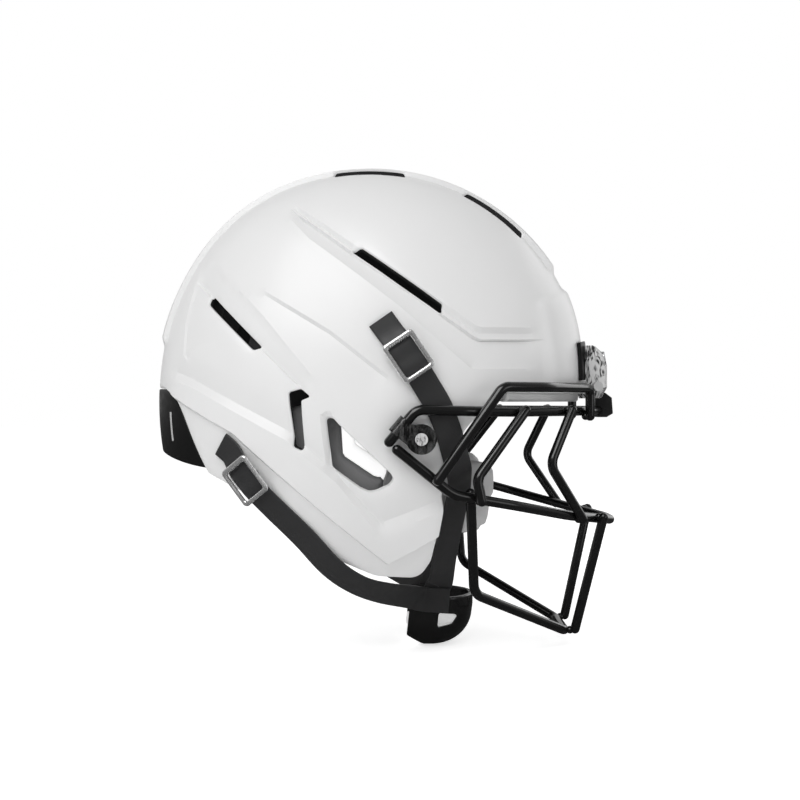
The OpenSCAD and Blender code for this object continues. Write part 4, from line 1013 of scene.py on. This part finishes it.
def buckle(name, place, angle, side):
    """Frame swept round its window: each of the m section points lies between the window's
    edge and the outer edge, and between the two faces."""
    n = form_normal(place[None])[0] * [1, side, 1]
    a = np.radians(angle)
    along = np.array([np.cos(a), 0, np.sin(a)])
    along = unit(along - n * (along @ n))
    across = np.cross(n, along)
    p = on_form(place[None])[0] * [1, side, 1]
    corner = np.array([(13.6, 9.3), (13.6, -9.3), (11.8, -11.1), (-11.8, -11.1)])
    outer_edge = rounded(np.vstack([corner, -corner]), [2.2] * 8, 0.22)
    k = np.arctan2(outer_edge[:, 1], outer_edge[:, 0])
    c, s = np.cos(k), np.sin(k)
    window = 1 / ((np.abs(c) / 10.6) ** 14 + (np.abs(s) / 8.5) ** 14) ** (1 / 14)
    teeth = np.abs((window * s * 0.62) % 1 - 0.5) * 2 * (np.abs(window * c) > 10.2) * (c < 0)
    inner_edge = np.stack([c, s], -1) * (window - teeth)[:, None]
    b = np.linspace(0, 2 * np.pi, 16, endpoint=False)
    share_out = 0.5 + 0.5 * power(np.cos(b), 0.85)
    height = buckle_off + 1.4 + 1.4 * power(np.sin(b), 0.85)
    flat_ring = inner_edge[:, None] + (outer_edge - inner_edge)[:, None] * share_out[None, :, None]
    points = (p + flat_ring[..., :1] * along + flat_ring[..., 1:] * across
              + height[None, :, None] * n)
    m, w = points.shape[:2]
    wrapped = np.concatenate([points, points[:1]])
    return closed_mesh(name, wrapped.reshape(-1, 3), quads(m + 1, w, around=True), 40, weld=0.01)


for word, side in sides:
    for kind, place, angle in (("upper", upper_snap, -56), ("lower", lower_snap, -51)):
        piece = buckle(f"buckle_{kind}_frame_{word}", place, angle, side)
        dress(piece, "shell", "bright_steel", bright, f"buckle_{kind}_{word}")

# ---- Chin cup
# Moulded black bowl with a window on each side and a pale soft pad inside; it tilts a little
# on the line through the strap ends. The pad glows faintly: painted light, so it reads pale
# through the windows.
gloss = material("cup_plastic", (0.008, 0.008, 0.008), 0.2, bump=0.012, coat=0.5)
# The pad's glow is painted light: an emission on the pad in the dim cup, though it is no lamp.
cup_foam = material("cup_foam", (0.85, 0.85, 0.84), 0.85, bump=0.15, grain=1000, sheen=0.3, glow=0.38)


def bowl(u, v, off):
    """Bowl of radius 30: half round in front, straight behind to the trimmed back edge. v
    runs from the rim down round the 20 mm corner and over the floor to the middle."""
    axis_x, rim_z, wall_h, arc, floor = 57, 107, 15, 31.4, 10
    r, h, corner = 30 + off, 35 + off, 20 + off
    run = v * (wall_h + arc + floor)
    turn = np.clip((run - wall_h) / 20, 0, np.pi / 2)
    across = np.where(run < wall_h, r, r - corner + corner * np.cos(turn))
    over = (r - corner) * (wall_h + arc + floor - run) / floor
    across = np.where(run > wall_h + arc, over, across)
    down = np.where(run < wall_h, run / wall_h * (h - corner), h - corner + corner * np.sin(turn))
    straight = 18 / (36 + 94.2)
    phi = np.clip((u - straight) / (1 - 2 * straight), 0, 1) * np.pi
    back = np.clip(np.maximum(straight - u, u - 1 + straight) / straight, 0, 1)
    back_x = np.interp(rim_z + down, [107, 114, 133, 143], [43.7, 42, 40, 54])
    taper_in = 3.5 * np.clip((down - 8) / 26, 0, 1)
    x = axis_x - back * (axis_x - back_x) + (across - taper_in) * np.sin(phi)
    return np.stack([x, across * np.cos(phi), -rim_z - down], -1)


def cut_through(piece, corners):
    """Cuts a prism over corners of the side view right through the piece, for good."""
    prism = np.vstack([np.insert(np.array(corners, float), 1, y, 1) for y in (-60, 60)])
    tool = closed_mesh("cutter", prism, capped(2, len(corners)))
    cut = piece.modifiers.new("window", "BOOLEAN")
    cut.object, cut.operation, cut.solver = tool, "DIFFERENCE", "EXACT"
    mesh = baked(piece)
    bpy.data.objects.remove(tool)
    mesh.set_sharp_from_angle(angle=np.radians(40))


cup = slab("chin_cup_bowl", bowl, (120, 56), (90, 40), 0, -3, 1.2, 40, open_end=True, weld=0.02)
cut_through(cup, rounded([(62, -117.2), (76, -119), (71, -125.8), (61, -127.4)], [1.2, 2, 4, 1.5], 0.8))
dress(cup, "cup", "cup_plastic", gloss, "chin_cup")
cup_pad = slab("chin_cup_cushion", lambda u, v, off: bowl(u, 0.375 + 0.625 * v, off), (120, 28),
               (70, 20), -3.2, -8.2, 2.2, 60, open_end=True, weld=0.02)
dress(cup_pad, "cup", "cup_foam", cup_foam, "chin_cup_pad")

# ---- Face guard
# Wires of 6.4 mm steel rod, bent, resistance-welded where they cross and dipped in black.
# The straight brow bar turns in the front clips.
coated = material("coated_wire", (0.006, 0.006, 0.006), 0.2, bump=0.01, grain=420, coat=0.5, uneven=0.05)


wire_r, crossing, step_deg = 3.2, 6.65, 6.0


def bent_line(points):
    """Centre line through points [x, y, z, bend radius]: straight runs joined by arcs."""
    p = np.asarray(points, float)
    out = [p[:1, :3]]
    for a, (*b, r), c in zip(p[:-2], p[1:-1], p[2:]):
        u, w = unit(b - a[:3]), unit(c[:3] - b)
        turn = np.arccos(np.clip(u @ w, -1, 1))
        side = unit(w - u * (u @ w))
        centre = b - u * r * np.tan(turn / 2) + side * r
        t = np.linspace(0, turn, int(np.degrees(turn) / step_deg) + 2)[:, None]
        out.append(centre - side * r * np.cos(t) + u * r * np.sin(t))
    return np.vstack(out + [p[-1:, :3]])


def tube(line, r=wire_r, m=24):
    """Points and faces of a round bar along a line, its side direction carried without
    twist, its ends domed."""
    t = unit(np.vstack([line[1] - line[0], line[2:] - line[:-2], line[-1] - line[-2]]))
    side = [unit(np.cross(t[0], [0.13, 0.21, 1]))]
    for d in t[1:]:
        side.append(unit(side[-1] - d * (side[-1] @ d)))
    a = np.radians(np.linspace(18, 90, 5))
    back, width = r * np.cos(a)[:, None], r * np.sin(a)
    centre = np.vstack([line[0] - t[0] * back, line, line[-1] + t[-1] * back[::-1]])
    radius = np.concatenate([width, np.full(len(line), r), width[::-1]])
    near = np.clip(np.arange(len(centre)) - 5, 0, len(line) - 1)
    side = np.array(side)[near]
    other = np.cross(t[near], side)
    k = np.linspace(0, 2 * np.pi, m, endpoint=False)
    rings = swept(centre, side, other, np.cos(k) * radius[:, None], np.sin(k) * radius[:, None])
    return rings.reshape(-1, 3), capped(len(rings), m)


def bead(a, b, r=2.7):
    """Weld bead where two wires cross: a ball between their axes."""
    n, m = 9, 16
    th, ph = np.meshgrid(np.linspace(0, np.pi, n), np.linspace(0, 2 * np.pi, m, endpoint=False),
                         indexing="ij")
    ball = np.stack([np.sin(th) * np.cos(ph), np.sin(th) * np.sin(ph), np.cos(th)], -1).reshape(-1, 3)
    return (a + b) / 2 + ball * r, [quads(n, m, around=True)]


def guard_wire(kind, points, crossings=(), word="", side=1):
    """One wire of the guard with the weld beads on it."""
    places, faces, start = [], [], 0
    for p, f in [tube(bent_line(points))] + [bead(a, b) for a, b in crossings]:
        places.append(p)
        faces += [g + start for g in f]
        start += len(p)
    piece = closed_mesh(kind + "_wire_bar" + word, np.vstack(places) * [1, side, 1], faces, 50, weld=0.002)
    dress(piece, "guard", "coated_wire", coated, kind + "_wire" + word)


eye = np.array([(29, 118.2, 3, 0), (45.5, 118.2, 22.5, 9), (80, 110.5, 21.5, 60), (108, 89, 21, 60),
                (147, 53, 21, 30), (176.8, 7, 21, 8)])
ring = np.array([(33.7, 118.2, -1.7, 0), (68, 107, -30, 25), (108, 86, -38.4, 60), (147, 57, -47.8, 40),
                 (183.2, 9, -55.4, 10)])


def mirrored(half):
    """The whole wire from its half on the left."""
    return np.vstack([half, half[::-1] * [1, -1, 1, 1]])


def off_wire(half, i, t, way, dz=0.0):
    """Point on a half wire's straight run and the point one crossing away from it, outside
    (way 1) or inside (way -1)."""
    a, b = half[i, :3], half[i + 1, :3]
    d = unit(b - a)
    out = unit(np.array([-d[1], d[0], 0])) * (1 if d[0] > 0 else -1) * crossing * way
    p = a + (b - a) * t
    return p + [0, 0, dz], p + out + [0, 0, dz]


guard_wire("eye", mirrored(eye))
guard_wire("ring", mirrored(ring))
brow_foot, brow_drop = off_wire(ring, 0, 0.66, 1), off_wire(eye, 4, 0.375, 1, -3.5)
chev_top, chev_foot = off_wire(eye, 3, 0.92, 1, 1), off_wire(ring, 3, 0.11, 1, -1.8)
cheek_top, cheek_foot = off_wire(eye, 3, 0.05, 1, 1), off_wire(ring, 1, 0.37, 1, -1)
jaw_top, mouth_top = off_wire(ring, 1, 0.37, -1, 3), off_wire(ring, 3, 0.6, 1, 1)
jaw_low = np.array([149.3, 22.3, -130.6])
mouth_foot = jaw_low + [6.6, 2.2, 1.5]
brow_z = 36.5
for word, side in sides:
    for kind, first, *bends, last in (
            ("brow", brow_foot, (98.5, 110.5, brow_z, 8), (128, 91, brow_z, 40),
             (*brow_drop[1][:2], brow_z, 5), brow_drop),
            ("chevron", chev_top, (132.5, 71.5, -13.5, 10), chev_foot),
            ("cheek", cheek_top, (83, cheek_foot[1][1], -20, 9), cheek_foot),
            ("mouth", mouth_top, (jaw_low, mouth_foot))):
        guard_wire(kind, [(*first[1], 0), *bends, (*last[1], 0)], [first, last], "_" + word, side)
jaw_half = np.array([(*jaw_top[1], 0), (83.2, 73.4, -96.5, 13), (*jaw_low, 9)])
guard_wire("jaw", mirrored(jaw_half), [jaw_top])
finish_nodes(sleeve, "brow_bar")
finish_nodes(rubber, "bar_bumper", bevel=1.2)

# ---- Stage
# Pale floor under the chin cup, a white surround and soft studio lamps. To the camera the
# floor is lifted towards white, and keeps the shadow. To glossy rays it is dark.
floor_z, floor_r = -0.1425, 6
floor_mesh = bpy.data.meshes.new("floor")
corners = ((-1, -1), (1, -1), (1, 1), (-1, 1))
floor_mesh.from_pydata([(x * floor_r, y * floor_r, floor_z) for x, y in corners], [], [(0, 1, 2, 3)])
floor = bpy.data.objects.new("floor", floor_mesh)
bpy.context.collection.objects.link(floor)
paper = bpy.data.materials.new("paper")
paper.use_nodes = True
tree = paper.node_tree
ray = node(tree, "LightPath").outputs
rise = node(tree, "MapRange", {"Value": ray["Is Camera Ray"], "To Min": 0.14, "To Max": 0.68})
lift = node(tree, "Emission", {"Strength": rise.outputs["Result"]})
base = node(tree, finish_of(paper), {"Base Color": (0.9, 0.9, 0.9, 1), "Roughness": 0.9})
lifted = node(tree, "AddShader", {0: base.outputs[0], 1: lift.outputs[0]})
mute = node(tree, "BsdfDiffuse", {"Color": (0.1, 0.1, 0.1, 1)})
dim = node(tree, "MixShader", {0: ray["Is Glossy Ray"], 1: lifted.outputs[0], 2: mute.outputs[0]})
node(tree, tree.nodes["Material Output"], {"Surface": dim.outputs[0]})
floor_mesh.materials.append(paper)

world = bpy.data.worlds.new("studio")
bpy.context.scene.world = world
world.use_nodes = True
tree = world.node_tree
ray = node(tree, "LightPath").outputs
height = node(tree, "SeparateXYZ", {0: node(tree, "TexCoord").outputs["Object"]}).outputs["Y"]
level, gleam = (node(tree, "MapRange", {"Value": height, "From Min": -0.3, "From Max": 0.7,
                                        "To Min": least, "To Max": most}).outputs["Result"]
                for least, most in ((0.27, 0.64), (0.12, 0.5)))
pick = node(tree, "Mix", {"Factor": ray["Is Glossy Ray"], "A": level, "B": gleam})
back = node(tree, tree.nodes["Background"], {"Color": (1, 1, 1, 1), "Strength": pick.outputs["Result"]})
seen = node(tree, "Background", {"Color": (1, 1, 1, 1), "Strength": 1.0})
choose = node(tree, "MixShader", {0: ray["Is Camera Ray"], 1: back.outputs[0], 2: seen.outputs[0]})
node(tree, tree.nodes["World Output"], {"Surface": choose.outputs[0]})


def lamp(name, place, aim, size, watts):
    """Square soft lamp that looks at a point."""
    light = bpy.data.lights.new(name, "AREA")
    light.shape, light.size, light.energy = "SQUARE", size, watts
    lit = bpy.data.objects.new(name, light)
    lit.location = place
    lit.rotation_euler = (Vector(aim) - Vector(place)).to_track_quat("-Z", "Y").to_euler()
    bpy.context.collection.objects.link(lit)


lamp("key", (-0.46, -1.1, 1.12), (0, 0, 0.03), 1.2, 16.4)
lamp("fill", (1.15, -0.75, 0.1), (0, 0.02, 0), 0.6, 1.1)
lamp("rim", (1.0, 0.75, 0.45), (0.1, 0, 0.06), 0.8, 2.2)
bpy.context.scene.view_settings.view_transform = "Standard"
